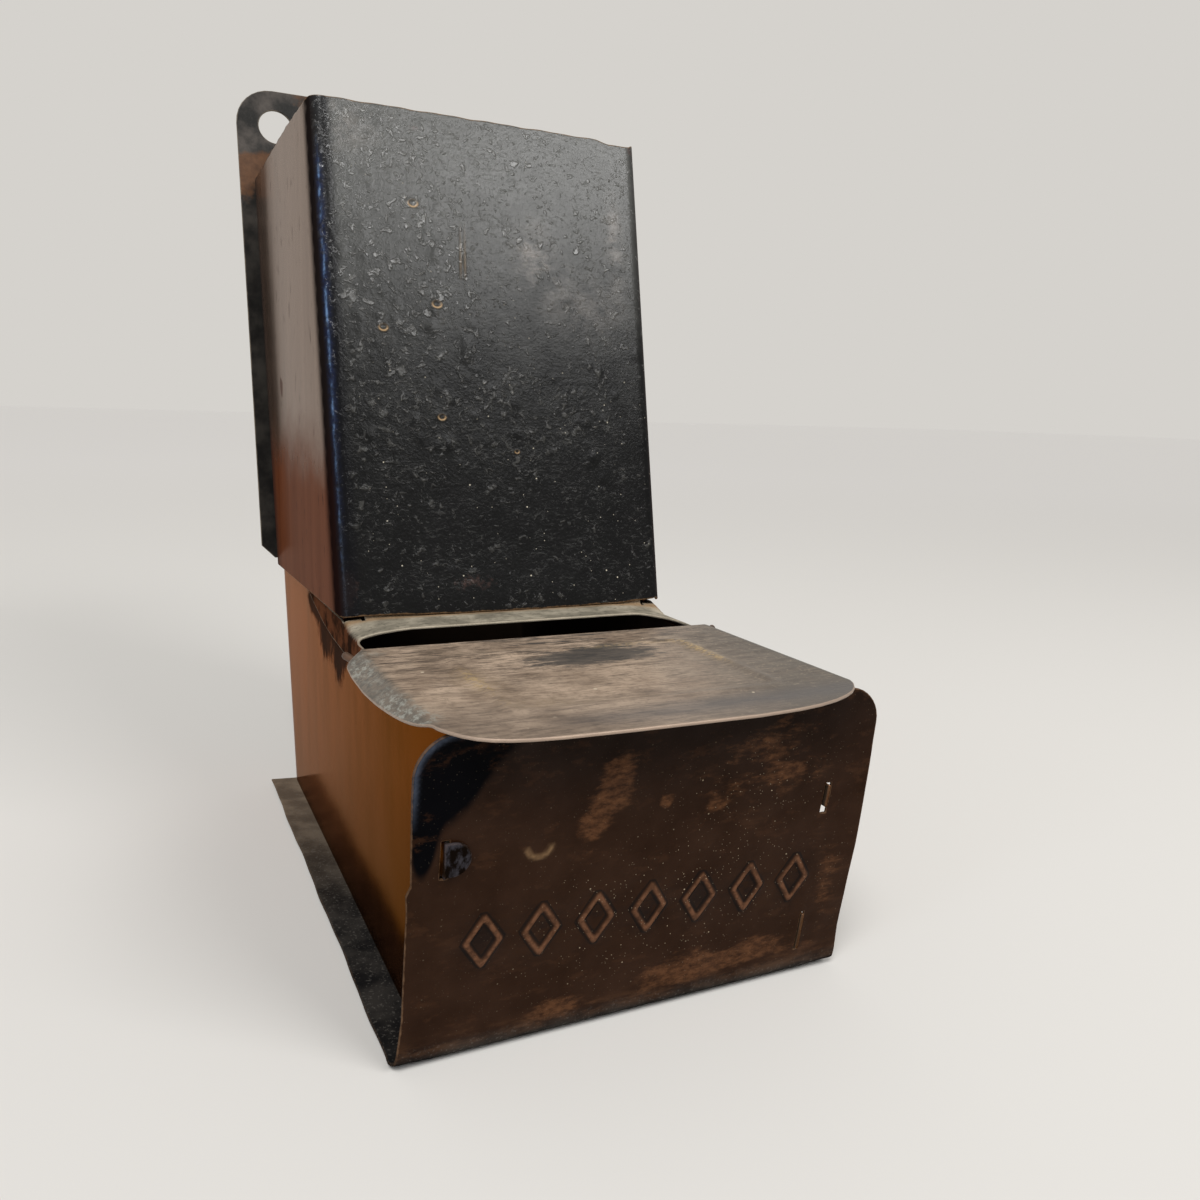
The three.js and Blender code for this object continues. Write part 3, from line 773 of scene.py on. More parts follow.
right_edge = on_wall(wall_edge([(5.5, 12.5, 0.5), (33.5, 37.5, 0.6)]), 1)
left_edge = on_wall(wall_edge([(32.5, 38.0, 0.8)]), -1)
tray_outline = np.concatenate([right_edge, left_edge[::-1]])
wire_holes = [circle(*on_wall([(wire_y, wire_z)], side)[0], wire_radius + 0.3, 16) for side in (1, -1)]
tray_grid = hexes(0, 0, tray_plan.length, tray_reach, 1.8)
(bend_a, bend_b), (bend_c, bend_d) = tray_plan.bends
for start, end in [(bend_a, bend_b), (bend_c, bend_d)]:
    tray_grid = tray_grid[(tray_grid[:, 0] < start - 0.5) | (tray_grid[:, 0] > end + 0.5)]
    tray_grid = np.concatenate([tray_grid, hexes(start, 0, end + 0.1, tray_reach, 0.5)])
tray_cut = pattern(tray_outline, wire_holes, tray_grid)
tray_s, tray_z = tray_cut[0].T
tray_x, tray_y, _ = tray_shape(tray_s, tray_z).T
smoke = blobs(tray_y, tray_z, [
    (13, 54, 14, 4, 1.0), (30, 53, 8, 3, 0.9), (0, 50, 6, 5, 0.9), (16, 47, 9, 5, 0.75),
    (-6, 51, 4, 4, 0.5), (2, 44, 5, 5, 0.5),
])
on_lug = 1.0 * (tray_y < front_face + 1.5 - front_slope * tray_z) * (tray_x < 0) * (np.abs(tray_z - 35) < 4)
tray_marks = {
    "leaf": on_lug,
    "smoke": smoke * (np.abs(tray_x) > 32),
    "chip": blobs(tray_y, tray_z, [(28.5, 56, 1.3, 0.9, 1.2)]),
}
tray = sheet("tray_sheet", tray_cut, tray_shape, marks=tray_marks)

leaf_reach = 2.75
leaf_low = 32.5
leaf_high = 38.0
leaf_level = (leaf_low + leaf_high) / 2
leaf_turn = np.linspace(-math.pi / 2, math.pi / 2, 20)
leaf_outline = [
    (-tray_half + 1.25 + leaf_reach * math.cos(a), leaf_level + leaf_reach * math.sin(a)) for a in leaf_turn
]
leaf_outline += [(-tray_half, leaf_high), (-tray_half, leaf_low)]
leaf_cut = pattern(leaf_outline, [], hexes(-33, 32, -28, 38.2, 0.6), 0.4)


def leaf_shape(x, z):
    """The folded tab on the front plate, a little cushioned."""
    from_middle = np.hypot(x + tray_half - 1, z - leaf_level) / leaf_reach
    return np.stack(
        [x, front_face - 0.75 - front_slope * z - 0.1 * limited(1 - from_middle**2), z], -1
    )


unmarked = np.zeros(len(leaf_cut[0]))
leaf_marks = {"leaf": unmarked + 1, "smoke": unmarked, "chip": unmarked}
leaf = sheet("leaf", leaf_cut, leaf_shape, marks=leaf_marks)


def join(whole, parts):
    """Makes the parts one mesh with the whole."""
    with bpy.context.temp_override(active_object=whole, selected_editable_objects=[whole, *parts]):
        bpy.ops.object.join()


join(tray, [leaf])

paint = Paint("tray_japan")
streaks = paint.noise(7, 4, 0.55, stretch=(1, 1, 0.2), seed=11)
cloud = paint.noise(16, 3, 0.5, seed=12)
grain = paint.noise(1.6, 5, 0.65, stretch=(1, 1, 0.5), seed=13)
# Painted shade: the walls are dim low down and towards the front, where they mirror the shaded floor and
# base, and brighter above and behind.
rearward = paint.z + paint.y * 0.35
lit_share = (rearward + cloud * 0.012).step(0.0, 0.066)
dim = streaks.mix((36, 21, 13), (54, 33, 23))
bright = streaks.mix((94, 54, 36), (138, 84, 56))
tray_colour = lit_share.mix(dim, bright)
mottle = paint.noise(9, 3, 0.5, stretch=(1, 1, 0.22), seed=15)
# Painted shade along the foot of the walls, where they meet the base.
foot_shade = (paint.z + grain * 0.003).step(0.006, 0.0015)
smoked = (paint.mark("smoke") + grain * 0.9).step(0.75, 1.15)
tray_colour = layered(tray_colour, [
    (streaks.step(0.56, 0.8) * 0.4, (44, 22, 12)),
    (mottle.step(0.44, 0.68) * 0.4, (30, 19, 14)),
    (foot_shade * 0.85, (16, 11, 8)),
    (smoked * 0.85, (30, 29, 27)),
    (paint.mark("chip").step(0.6, 0.9), (170, 130, 100)),
])
tray_inside = cloud.mix((30, 24, 20), (72, 58, 46))
tray_colour = paint.mark("outside").mix(tray_inside, tray_colour)
leaf_colour = grain.step(0.45, 0.6).mix((16, 11, 8), (52, 50, 54))
tray_colour = paint.mark("leaf").mix(tray_colour, leaf_colour)
tray_edge = (paint.mark("edge") + grain * 0.12).step(1.02, 1.08)
tray_edge = tray_edge * paint.z.step(0.053, 0.05)
tray_edge = tray_edge * paint.mark("leaf").between(1.0, 0.15)
tray_colour = (tray_edge * 0.6).mix(tray_colour, (112, 84, 62))
tray_rough = smoked.between(streaks.between(0.1, 0.2), 0.5)
tray_rough = paint.mark("outside").between(0.6, tray_rough)
tray_mirror = paint.mark("outside") * smoked.between(0.6, 0.1)
tray_finish = paint.finish(
    tray_colour,
    tray_rough,
    [(paint.noise(18, 1, 0.4, seed=14), 0.06), (smoked * grain, 0.05)],
    metal=tray_mirror * paint.mark("leaf").between(1.0, 0.15),
    tint=(0.84, 0.5, 0.32, 1),
    gloss=0.0,
)
place(tray, tray_finish, "holder", "tray_shell")


# Bridge strip
# A narrow sheet across the tray under the hopper's foot, with a long shallow slot in front for the matches.
# Its ends are folded down the tray's walls and its rear edge up inside the hopper. It is bare and dull.

strip_half = 33.45
strip_top = 56.7
strip_rear = -6.934
strip_front = -18.9
ear_front = -25.434
slot_half = 31.25
flap_low = 50.2
flap_tail = 31.766
nick = 0.6  # beside a bend, so that it folds cleanly
upturn_top = -1.9  # of the upturned rear edge, in the flat
upturn_notch = -8.4

strip_section = Section(
    (-strip_half, flap_low),
    (-strip_half, strip_top, 0.9),
    (strip_half, strip_top, 0.9),
    (strip_half, flap_low),
)
flap_in, flap_out = strip_section.bends[0]
upstand_start = -60
upstand_foot = -7.5
upstand_height = 8
upstand = Section(
    (upstand_start, 0),
    (upstand_foot, 0, 0.6),
    (upstand_foot + upstand_height * back_slope, upstand_height),
)
upstand_half = 29.45
strip_middle = strip_section.length / 2


def strip_shape(u, v):
    x, z = strip_section.at(u)
    middle = np.abs(u - strip_middle) < upstand_half + 0.2
    y, rise = upstand.at(v - upstand_start)
    at_slot = np.clip(slot_half - 4 - np.abs(x), 0, 4) / 4
    curl = 0.3 * np.clip(1 - (v - strip_front) / 1.8, 0, 1.3) ** 2 * at_slot
    to_front = limited((-5 - v) / 7) * limited((z - flap_low) / (strip_top - flap_low))
    left_sag = 1.5 * limited((-25 - x) / 8.45) ** 2
    right_sag = 2.3 * limited((x - 20) / 13.45) ** 2
    z = z + np.where(middle, rise, 0) + np.where(v < -9, curl, 0) - (left_sag + right_sag) * to_front
    return np.stack([x, np.where(middle, y, v), z], -1)


flap_line = [
    (-23.834, 52.8), (-19.934, flap_low), (-8.234, flap_low), (3.8, 50.7), (13.8, 51.8), (23.8, 53.8),
    (flap_tail, 55.6),
]


def on_flap(side):
    y, z = np.array(flap_line).T
    u = z - flap_low
    return np.stack([u if side < 0 else strip_section.length - u, y], 1)


top_edge = flap_in + 0.2
slot_line = [
    (-33.6, -24.0), (-33.6, -20.0), (-33.2, -18.9), (-32.3, -18.4), (-31, -18.5), (-27, -18.9),
    (-24, strip_front), (21, strip_front), (27, -19.0), (30.6, -19.2), (31.9, -19.8), (32.5, -21.2),
    (32.6, -24.0),
]
turned = [strip_middle - upstand_half, strip_middle + upstand_half]
strip_outline = rounded(
    [
        (top_edge - nick, ear_front + 0.9),
        *((strip_middle + x, y) for x, y in slot_line),
        (strip_section.length - top_edge + nick, ear_front + 0.9),
        *map(tuple, on_flap(1)),
        (strip_section.length - top_edge, flap_tail),
        (strip_section.length - flap_in - nick, strip_rear),
        (turned[1] + nick, strip_rear),
        (turned[1] + nick, upturn_notch),
        (turned[1], upturn_notch),
        (turned[1], upturn_top),
        (turned[0], upturn_top),
        (turned[0], upturn_notch),
        (turned[0] - nick, upturn_notch),
        (turned[0] - nick, strip_rear),
        (flap_in + nick, strip_rear),
        (top_edge, flap_tail),
        *map(tuple, on_flap(-1)[::-1]),
    ],
    6,
)
strip_grid = hexes(0, -26, strip_section.length, 32, 0.8)
strip_cut = pattern(strip_outline, [], strip_grid, 0.5)
strip_u, strip_v = strip_cut[0].T
strip = sheet(
    "bridge_strip_sheet",
    strip_cut,
    strip_shape,
    marks={
        "lip": ridge(strip_v + 8.3, 1.3),
        "flap": limited((flap_out - 0.2 - np.minimum(strip_u, strip_section.length - strip_u)) / 0.8),
    },
)

paint = Paint("strip_patina")
cloud = paint.noise(6, 5, 0.6, seed=21)
grain = paint.noise(1.0, 5, 0.65, seed=22)
strip_colour = cloud.step(0.35, 0.65).mix((132, 125, 110), (178, 168, 149))
flap_colour = cloud.step(0.4, 0.6).mix((40, 26, 19), (88, 54, 36))
bright = (paint.mark("edge") + grain * 0.1).step(1.0, 1.06)
strip_colour = layered(strip_colour, [
    (grain.step(0.5, 0.7) * 0.5, (44, 42, 38)),
    (paint.mark("lip") * cloud.between(0.3, 0.9), (150, 110, 64)),
    (paint.mark("flap"), flap_colour),
    (bright * 0.7, (150, 140, 124)),
])
strip_finish = paint.finish(
    strip_colour,
    cloud.between(0.4, 0.6),
    [(cloud, 0.1), (grain, 0.05)],
    metal=paint.mark("flap").between(0.3, 0.0),
    gloss=0.0,
)
place(strip, strip_finish, "holder", "bridge_strip")


# Front and base plate
# One sheet bent at the foot: the base under the tray, wider than its walls, and the front that leans out.
# Both are soldered to the tray. A row of lozenges is pressed into the front before it is bent.

base_left = -38.65
base_right = 41.45
base_back = 63.234
front_height = 54.5
foot_bend = 2.4
front_middle = 1.4
lozenge_count = 7
lozenge_pitch = 9.1
lozenge_level = 20.5
lozenge_relief = 0.5
cos_front = math.cos(math.radians(10))

side_view = Section(
    (base_back, 0),
    (front_face, 0, foot_bend),
    (front_face - front_height * front_slope, front_height),
)
((foot_in, foot_out),) = side_view.bends


def level(z):
    """Length along the plate's section at a height of its front."""
    return side_view.length - (front_height - z) / cos_front


def front_shape(x, s):
    y, z = side_view.at(s)
    up = limited(z / front_height)
    ends = np.clip((np.abs(x - front_middle) - 30) / 9, 0, 1.2)
    wave = 0.5 * ends**2 * np.sin(z / 11 + 0.8 * np.sign(x)) * limited(z / 8)
    flare = -0.8 * limited((x - 33) / 8) ** 2 * np.sin(math.pi * up)
    lift = 0.35 * limited((z < 1) * (np.abs(x - front_middle) - 34) / 6)
    return np.stack([x + 0 * s, y + wave + flare, z + lift], -1)


right_known = [
    (0, 41.4), (3, 41.6), (7, 41.4), (13, 41.1), (19, 40.8), (25, 40.6), (31, 40.2), (36, 39.9),
    (41, 39.7), (45, 39.5),
]
left_known = [
    (0, -38.6), (3, -37.9), (9, -37.4), (27, -37.3), (30, -37.5), (31.5, -36.9), (36, -37.1),
    (45, -37.4),
]
front_line = [
    (base_left, 0.0),
    (base_left, foot_in),
    *((x, level(z)) for z, x in left_known[1:]),
    (-37.5, side_view.length, 6.3),
    (39.3, side_view.length, 6.5),
    *((x, level(z)) for z, x in right_known[:0:-1]),
    (base_right, foot_in),
    (base_right, 0.0),
]
front_outline = closer(rounded(front_line[::-1], 10), 0.8)
on_base = front_outline[:, 1] < foot_in - 1
ragged = 0.12 * np.sin(front_outline[:, 1] / 6.3) + 0.05 * np.sin(front_outline[:, 1] / 2.3)
front_outline[:, 0] += np.where(on_base, ragged, 0)
lug_slits = [(-1, 32.2, 38.3, 0.55), (1, 32.2, 37.8, 0.55), (1, 5.2, 12.8, 0.38)]
slits = []
for side, low, high, slit_half in lug_slits:
    x = side * (tray_half - thick / 2)
    corners = [(-slit_half, low), (slit_half, low), (slit_half, high), (-slit_half, high)]
    slits.append(rounded([(x + shift, level(z)) for shift, z in corners]))
front_grid = np.concatenate([
    hexes(base_left, 0, base_right, foot_in - 3, 2.2),
    hexes(base_left, foot_in - 2.4, base_right, side_view.length, 0.55),
])
front_cut = pattern(front_outline, slits, front_grid)
front_x, front_s = front_cut[0].T


def lozenge_press():
    """Nodes that press a row of lozenges into flat points."""
    tree = bpy.data.node_groups.new("lozenge_press", "GeometryNodeTree")
    sockets = {
        "Geometry": "Geometry",
        "Count": "Int",
        **dict.fromkeys(["Pitch", "Width", "Height", "Stroke", "Relief", "Middle", "Level"], "Float"),
        "Material": "Material",
    }
    for name, kind in sockets.items():
        tree.interface.new_socket(name, in_out="INPUT", socket_type="NodeSocket" + kind)
    tree.interface.new_socket("Geometry", in_out="OUTPUT", socket_type="NodeSocketGeometry")

    def made(kind, inputs, **settings):
        return add_node(tree, kind, inputs, **settings).outputs[0]

    def reckoned(kind, a, b):
        return made("ShaderNodeMath", {0: a, 1: b}, operation=kind)

    given = add_node(tree, "NodeGroupInput", {}).outputs
    last = reckoned("SUBTRACT", given["Count"], 1.0)
    half_row = reckoned("MULTIPLY", reckoned("MULTIPLY", last, given["Pitch"]), 0.5)
    first = reckoned("SUBTRACT", given["Middle"], half_row)
    start = made("ShaderNodeCombineXYZ", {0: first, 1: given["Level"]})
    stride = made("ShaderNodeCombineXYZ", {0: given["Pitch"]})
    row = made("GeometryNodeMeshLine", {"Count": given["Count"], "Start Location": start, "Offset": stride})
    four = made("GeometryNodeCurvePrimitiveCircle", {"Resolution": 4, "Radius": 1.0}, mode="RADIUS")
    outline = made("GeometryNodeCurveToMesh", {"Curve": four})
    halves = {i: reckoned("MULTIPLY", given[name], 0.5) for i, name in enumerate(["Width", "Height"])}
    size = made("ShaderNodeCombineXYZ", {**halves, 2: 1.0})
    copies = made("GeometryNodeInstanceOnPoints", {"Points": row, "Instance": outline, "Scale": size})
    lines = made("GeometryNodeRealizeInstances", {"Geometry": copies})
    near = add_node(tree, "GeometryNodeProximity", {0: lines}, target_element="EDGES").outputs["Distance"]
    fall = {
        "Value": near,
        "From Min": 0.0,
        "From Max": given["Stroke"],
        "To Min": given["Relief"],
        "To Max": 0.0,
    }
    relief = made("ShaderNodeMapRange", fall, interpolation_type="SMOOTHERSTEP")
    rise = made("ShaderNodeCombineXYZ", {2: relief})
    pressed = made("GeometryNodeSetPosition", {"Geometry": given["Geometry"], "Offset": rise})
    whole = made("GeometryNodeRealizeInstances", {"Geometry": pressed})
    named = made("GeometryNodeSetMaterial", {"Geometry": whole, "Material": given["Material"]})
    add_node(tree, "NodeGroupOutput", {0: named})
    return tree


paint = Paint("front_japan")
flat_mesh = bpy.data.meshes.new("front_flat")
flat_mesh.from_pydata(np.c_[front_cut[0], np.zeros(len(front_x))].tolist(), [], front_cut[1].tolist())
flat_plate = shown("front_flat", flat_mesh)
press = flat_plate.modifiers.new("press", "NODES")
press.node_group = lozenge_press()
sizes = {
    "Count": lozenge_count,
    "Pitch": lozenge_pitch,
    "Width": 5.3,
    "Height": 8.4,
    "Stroke": 0.95,
    "Relief": lozenge_relief,
    "Middle": front_middle,
    "Level": level(lozenge_level),
    "Material": paint.material,
}
for item in press.node_group.interface.items_tree:
    if item.in_out == "INPUT" and item.name in sizes:
        press[item.identifier] = sizes[item.name]
seen = bpy.context.evaluated_depsgraph_get()
pressed_mesh = bpy.data.meshes.new_from_object(flat_plate.evaluated_get(seen))
pressed_points = np.zeros(3 * len(front_x))
pressed_mesh.vertices.foreach_get("co", pressed_points)
lozenges = pressed_points.reshape(-1, 3)[:, 2]
flat_plate.modifiers.remove(press)
bpy.data.objects.remove(flat_plate)
bpy.data.meshes.remove(pressed_mesh)
bpy.data.meshes.remove(flat_mesh)

front_z = front_height - (side_view.length - front_s) * cos_front
on_face = limited((front_z - 1) / 3)
dents = blobs(front_x, front_z, [
    (-31, 36, 4.5, 6, 0.22), (32, 9, 1.4, 5, 0.35), (34, 35, 3, 6, 0.2), (-8, 44, 12, 9, -0.15),
    (16, 8, 18, 4, -0.12), (22, 40, 8, 6, 0.15), (1.4, 20, 34, 7, -0.12), (-31, 50, 4, 5, -0.2),
])
crescent = np.hypot(front_x + 18.2, (front_z - 34.9) * 1.05)
crescent_rim = ridge(crescent - 1.9, 0.35) * limited((35.2 - front_z) / 0.8)
dents = dents - 0.18 * ridge(crescent, 1.5) + 0.15 * crescent_rim
lozenge_steps = range(-(lozenge_count // 2), lozenge_count // 2 + 1)
halos = [(front_middle + lozenge_pitch * k, lozenge_level, 3.6, 5.4, 1.0) for k in lozenge_steps]
from_corner = np.hypot(np.minimum(front_x + 31.2, 0), np.maximum(front_z - 48.2, 0))
at_corner = limited((front_z - 40) / 6) * limited((-26 - front_x) / 4)
front_marks = {
    "raised": limited(lozenges / lozenge_relief),
    "face": on_face,
    "crescent": crescent_rim,
    "rust": blobs(front_x, front_z, [
        (-6.5, 44, 3.2, 5, 0.9), (-10, 37, 3, 4, 0.8), (11, 6.5, 10, 3.2, 0.9), (-13, 4.5, 6, 3, 0.8),
        (25, 7, 8, 3, 0.6), (11, 37, 2.5, 1.5, 0.7), (22, 42, 12, 5, 0.5), (2, 39, 1.5, 1.5, 0.7),
        (36, 20, 3, 12, 0.4), (20, 48, 10, 3, 0.4),
    ]),
    "black": blobs(front_x, front_z, [
        (-33, 50, 6, 9, 1.3), (-28, 55, 8, 6, 0.8), (-35.5, 38, 2, 8, 0.8),
    ]),
    "dust": blobs(front_x, front_z, [(8, 24, 28, 8, 1.0), (18, 40, 17, 8, 0.8), (4, 12, 30, 7, 0.6)]),
    "halo": limited(blobs(front_x, front_z, halos)),
    "foot": ridge(front_s - foot_out, 2.2),
    # painted reflection of a cool light round the upper-left corner
    "blue_reflection": ridge(from_corner - 5.8, 0.38) * at_corner,
}
front_plate = sheet(
    "front_and_base_sheet", front_cut, front_shape, through=lozenges + dents * on_face, marks=front_marks
)

cloud = paint.noise(8, 5, 0.6, seed=31)
grain = paint.noise(1.3, 5, 0.65, seed=32)
fine = paint.noise(0.5, 3, 0.6, seed=33)
brush = paint.noise(2.2, 5, 0.65, stretch=(0.35, 1, 1.2), seed=34)
patches = paint.noise(5, 6, 0.7, stretch=(0.7, 1, 1.2), seed=37)
face = paint.mark("face")
raised = paint.mark("raised")
# Painted shadow: the plate is darker towards its top, under the lid's overhang, and lighter below it.
out_of_lid_shadow = paint.z.step(0.056, 0.03)
colour = cloud.mix((14, 6, 2), (34, 18, 9))
# Nearly black at the upper-left corner and down the left edge, with less coat there.
nearly_black = (paint.mark("black") + cloud * 0.4).step(0.6, 0.85)
smudged = patches.step(0.52, 0.6) * brush.step(0.4, 0.6)
rusted = (paint.mark("rust") + (brush + patches) * 1.1).step(1.4, 1.75)
rust_grain = paint.noise(1.0, 6, 0.7, stretch=(0.5, 1, 1), seed=38)
rust_colour = rust_grain.step(0.3, 0.7).mix((44, 25, 13), (100, 66, 42))
worn_rim = raised.step(0.4, 0.95) * grain.step(0.35, 0.6).between(0.45, 1.0)
groove = raised.step(0.0, 0.12) * raised.step(0.5, 0.2)
halo = paint.mark("halo") * patches.step(0.4, 0.6)
# Painted reflection: a bluish line round the rounded upper-left corner, standing for a cool light mirrored
# in it.
blue_reflection = paint.mark("blue_reflection") * grain.between(0.2, 1.0)
dust = paint.specks(1.9, 0.08, 0.45, seed=35) + paint.specks(0.8, 0.12, 0.32, seed=36)
dust = dust + paint.specks(0.5, 0.17, 0.4, seed=39) * 0.6
dust = dust * paint.mark("dust").step(0.1, 1.0).between(0.1, 1.0)
foot_worn = paint.mark("foot") * brush.step(0.4, 0.65)
colour = layered(colour, [
    (out_of_lid_shadow, cloud.mix((26, 13, 6), (52, 31, 17))),
    (nearly_black, (4, 4, 6)),
    (smudged * 0.35, (64, 40, 24)),
    (rusted * 0.75, rust_colour),
    (worn_rim * 0.75, (112, 76, 54)),
    ((1.0 - worn_rim) * (halo * 0.6), (13, 11, 12)),
    (groove * 0.7, (12, 9, 8)),
    (paint.mark("crescent") * 0.65, (132, 104, 74)),
    (blue_reflection * 0.7, (84, 92, 108)),
    (dust, (168, 152, 126)),
    (foot_worn * 0.6, (98, 68, 46)),
])
to_rear = paint.y.step(-0.02, 0.06)
base_dark = to_rear.mix((26, 25, 25), (92, 80, 68))
base_light = to_rear.mix((52, 49, 46), (122, 108, 92))
base_colour = cloud.step(0.35, 0.65).mix(base_dark, base_light)
base_colour = (fine.step(0.56, 0.68) * 0.4).mix(base_colour, (104, 100, 94))
colour = face.mix(base_colour, colour)
inner = cloud.mix((28, 24, 21), (64, 56, 48))
is_inner = face * (1.0 - paint.mark("outside"))
colour = is_inner.mix(colour, inner)
edge_worn = (paint.mark("edge") + grain * 0.1).step(1.02, 1.07)
colour = (edge_worn * face.between(0.2, 0.7)).mix(colour, (108, 82, 60))
rough = rusted.between(cloud.between(0.2, 0.34), 0.55)
rough = face.between(0.75, rough)
rough = is_inner.between(rough, 0.6)
front_finish = paint.finish(
    colour,
    rough,
    [(cloud, 0.12), (patches * face, 0.12), (grain * face.between(1.0, 0.35), 0.1), (fine, 0.015)],
    gloss=0.0,
    coat=face * nearly_black.between(1.0, 0.3) * cloud.between(0.05, 0.25),
    coat_rough=0.25,
)
place(front_plate, front_finish, "holder", "front_and_base_plate")


# Hinge wire
# A soft iron wire through both tray walls and the lid's two ears.
# Its ends are bent back, so that it stays in. It is rusty brown, with a dull shine.


def tube(name, path, radius, sides=16):
    """A wire along a line of points, with rounded ends."""
    path = np.array(path)
    ahead = np.gradient(path, axis=0)
    ahead /= np.linalg.norm(ahead, axis=1)[:, None]
    out = np.cross(ahead, (0, 0, 1.0))
    out /= np.linalg.norm(out, axis=1)[:, None]
    top = np.cross(out, ahead)
    turn = np.linspace(0, 2 * math.pi, sides, endpoint=False)
    rows = [(path[i], 1.0, i) for i in range(len(path))]
    for share in (0.8, 0.4, 0.0):
        dome = ahead * radius * math.sqrt(1 - share * share)
        rows = [(path[0] - dome[0], share, 0), *rows, (path[-1] + dome[-1], share, -1)]
    points = []
    for centre, share, i in rows:
        reach = max(share, 0.02) * radius
        points.append(centre + reach * (np.cos(turn)[:, None] * out[i] + np.sin(turn)[:, None] * top[i]))
    count = len(rows)
    faces = []
    for k in range(count - 1):
        low, high = np.arange(sides) + k * sides, np.arange(sides) + (k + 1) * sides
        quads = [low, np.roll(low, -1), np.roll(high, -1), high]
        faces += np.stack(quads, 1)[:, ::-1].tolist()
    faces.append(list(range(sides)))
    faces.append([*range((count - 1) * sides, count * sides)][::-1])
    return solid(name, np.concatenate(points), faces, {})


hook_turn = math.radians(60)
hook_at = 34.25
hook_reach = 5.0
hook_rise = 0.28
corner_run = 1.4


def hook(side):
    """The bent end of the wire, from the straight run out to its tip."""
    line = []
    corner = np.array((side * hook_at, wire_y, wire_z))
    out = np.array((side * math.cos(hook_turn), math.sin(hook_turn), hook_rise))
    start = corner - np.array((side * corner_run, 0, 0))
    end = corner + out * corner_run
    for share in np.linspace(0, 1, 9):
        line.append((1 - share) ** 2 * start + 2 * share * (1 - share) * corner + share**2 * end)
    return line + [corner + out * hook_reach * k for k in (0.5, 0.8, 0.93)]


straight = [np.array((x, wire_y, wire_z)) for x in np.linspace(-32, 32, 9)]
wire = tube("hinge_wire_rod", hook(-1)[::-1] + straight + hook(1), wire_radius)

paint = Paint("wire_iron")
cloud = paint.noise(3, 5, 0.6, seed=41)
grain = paint.noise(0.6, 4, 0.6, seed=42)
wire_colour = cloud.step(0.4, 0.62).mix((78, 66, 58), (100, 74, 56))
wire_colour = (grain * 0.4).mix(wire_colour, (48, 34, 26))
wire_rough = cloud.between(0.35, 0.6)
wire_finish = paint.finish(wire_colour, wire_rough, [(cloud, 0.05), (grain, 0.03)], metal=0.5)
place(wire, wire_finish, "lid", "hinge_wire")


# Lid
# A flat sheet with a pressed bead and a skirt bent down at each side, hinged on the wire by two ears.
# The japan is rubbed off its top, leaving a brown-grey patina, a bluish band in front and bright edges.

lid_half = 34.5
lid_top = 55.3
lid_bend = 1.6
lid_rear = -26.234
lid_front = -82.044
skirt_slope = math.radians(31)
skirt_width = 4.2
skirt_blank = 8  # wider than any skirt, which the outline then cuts
skirt_rear = -27.03
skirt_front = -71.04
bead_half = 22.2
bead_front = -69.4
bead_rear = -36.5
bead_corner = 2.7

skirt_out = lid_half + skirt_blank * math.cos(skirt_slope)
skirt_low = lid_top - skirt_blank * math.sin(skirt_slope)
lid_section = Section(
    (-skirt_out, skirt_low),
    (-lid_half, lid_top, lid_bend),
    (lid_half, lid_top, lid_bend),
    (skirt_out, skirt_low),
)
lid_middle = lid_section.length / 2


def lid_shape(u, v):
    x, z = lid_section.at(u)
    ahead = (v - lid_rear) / (lid_front - lid_rear)
    bow = 0.25 * limited(1 - (x / lid_half) ** 2) * np.sin(math.pi * limited(ahead))
    return np.stack([x, v + 0 * u, z - bow], -1)


skirt_shares = [
    (0, 0), (0.01, 0.45), (0.07, 0.85), (0.2, 0.96), (0.41, 1), (0.57, 0.93), (0.7, 0.8), (0.79, 0.68),
    (0.88, 0.5), (0.94, 0.3), (0.98, 0.08), (1, 0),
]
along = np.linspace(0, 1, 50)
spread = np.interp(along, *np.array(skirt_shares).T)
spread[1:-1] = (spread[:-2] + 2 * spread[1:-1] + spread[2:]) / 4
skirt_y = skirt_rear + along * (skirt_front - skirt_rear)
skirt_x = lid_middle + lid_half + skirt_width * spread
right_nose = [
    (33.8, -72.6), (32.4, -74.6), (30.6, -76.3), (28.3, -77.8), (25.4, -79.2), (21.4, -80.5),
    (17.1, -81.3), (10, -81.9),
]
left_nose = [
    (-34.3, -72.1), (-33.3, -74.3), (-32.2, -76.2), (-30.7, -77.9), (-28.9, -79.2), (-26.6, -80.1),
    (-24, -80.7), (-20, -81.2), (-10, -81.6),
]
right_side = [(lid_middle + lid_half - 0.2, lid_rear), *zip(skirt_x, skirt_y)]
right_side += [(lid_middle + x, y) for x, y in right_nose]
left_side = [(lid_middle - lid_half + 0.2, lid_rear), *zip(2 * lid_middle - skirt_x, skirt_y)]
left_side += [(lid_middle + x, y) for x, y in left_nose]
lid_outline = closer(np.array([*right_side[::-1], *left_side]), 0.7)
lid_cut = pattern(lid_outline, [], hexes(0, lid_front, lid_section.length, lid_rear, 0.62))
lid_u, lid_v = lid_cut[0].T
lid_x = lid_u - lid_middle
beside = np.abs(lid_x) - bead_half + bead_corner
ahead = np.abs(lid_v - (bead_front + bead_rear) / 2) - (bead_rear - bead_front) / 2 + bead_corner
past_corner = np.hypot(np.maximum(beside, 0), np.maximum(ahead, 0))
from_bead = past_corner + np.minimum(np.maximum(beside, ahead), 0) - bead_corner
bead = ridge(from_bead, 1.1)
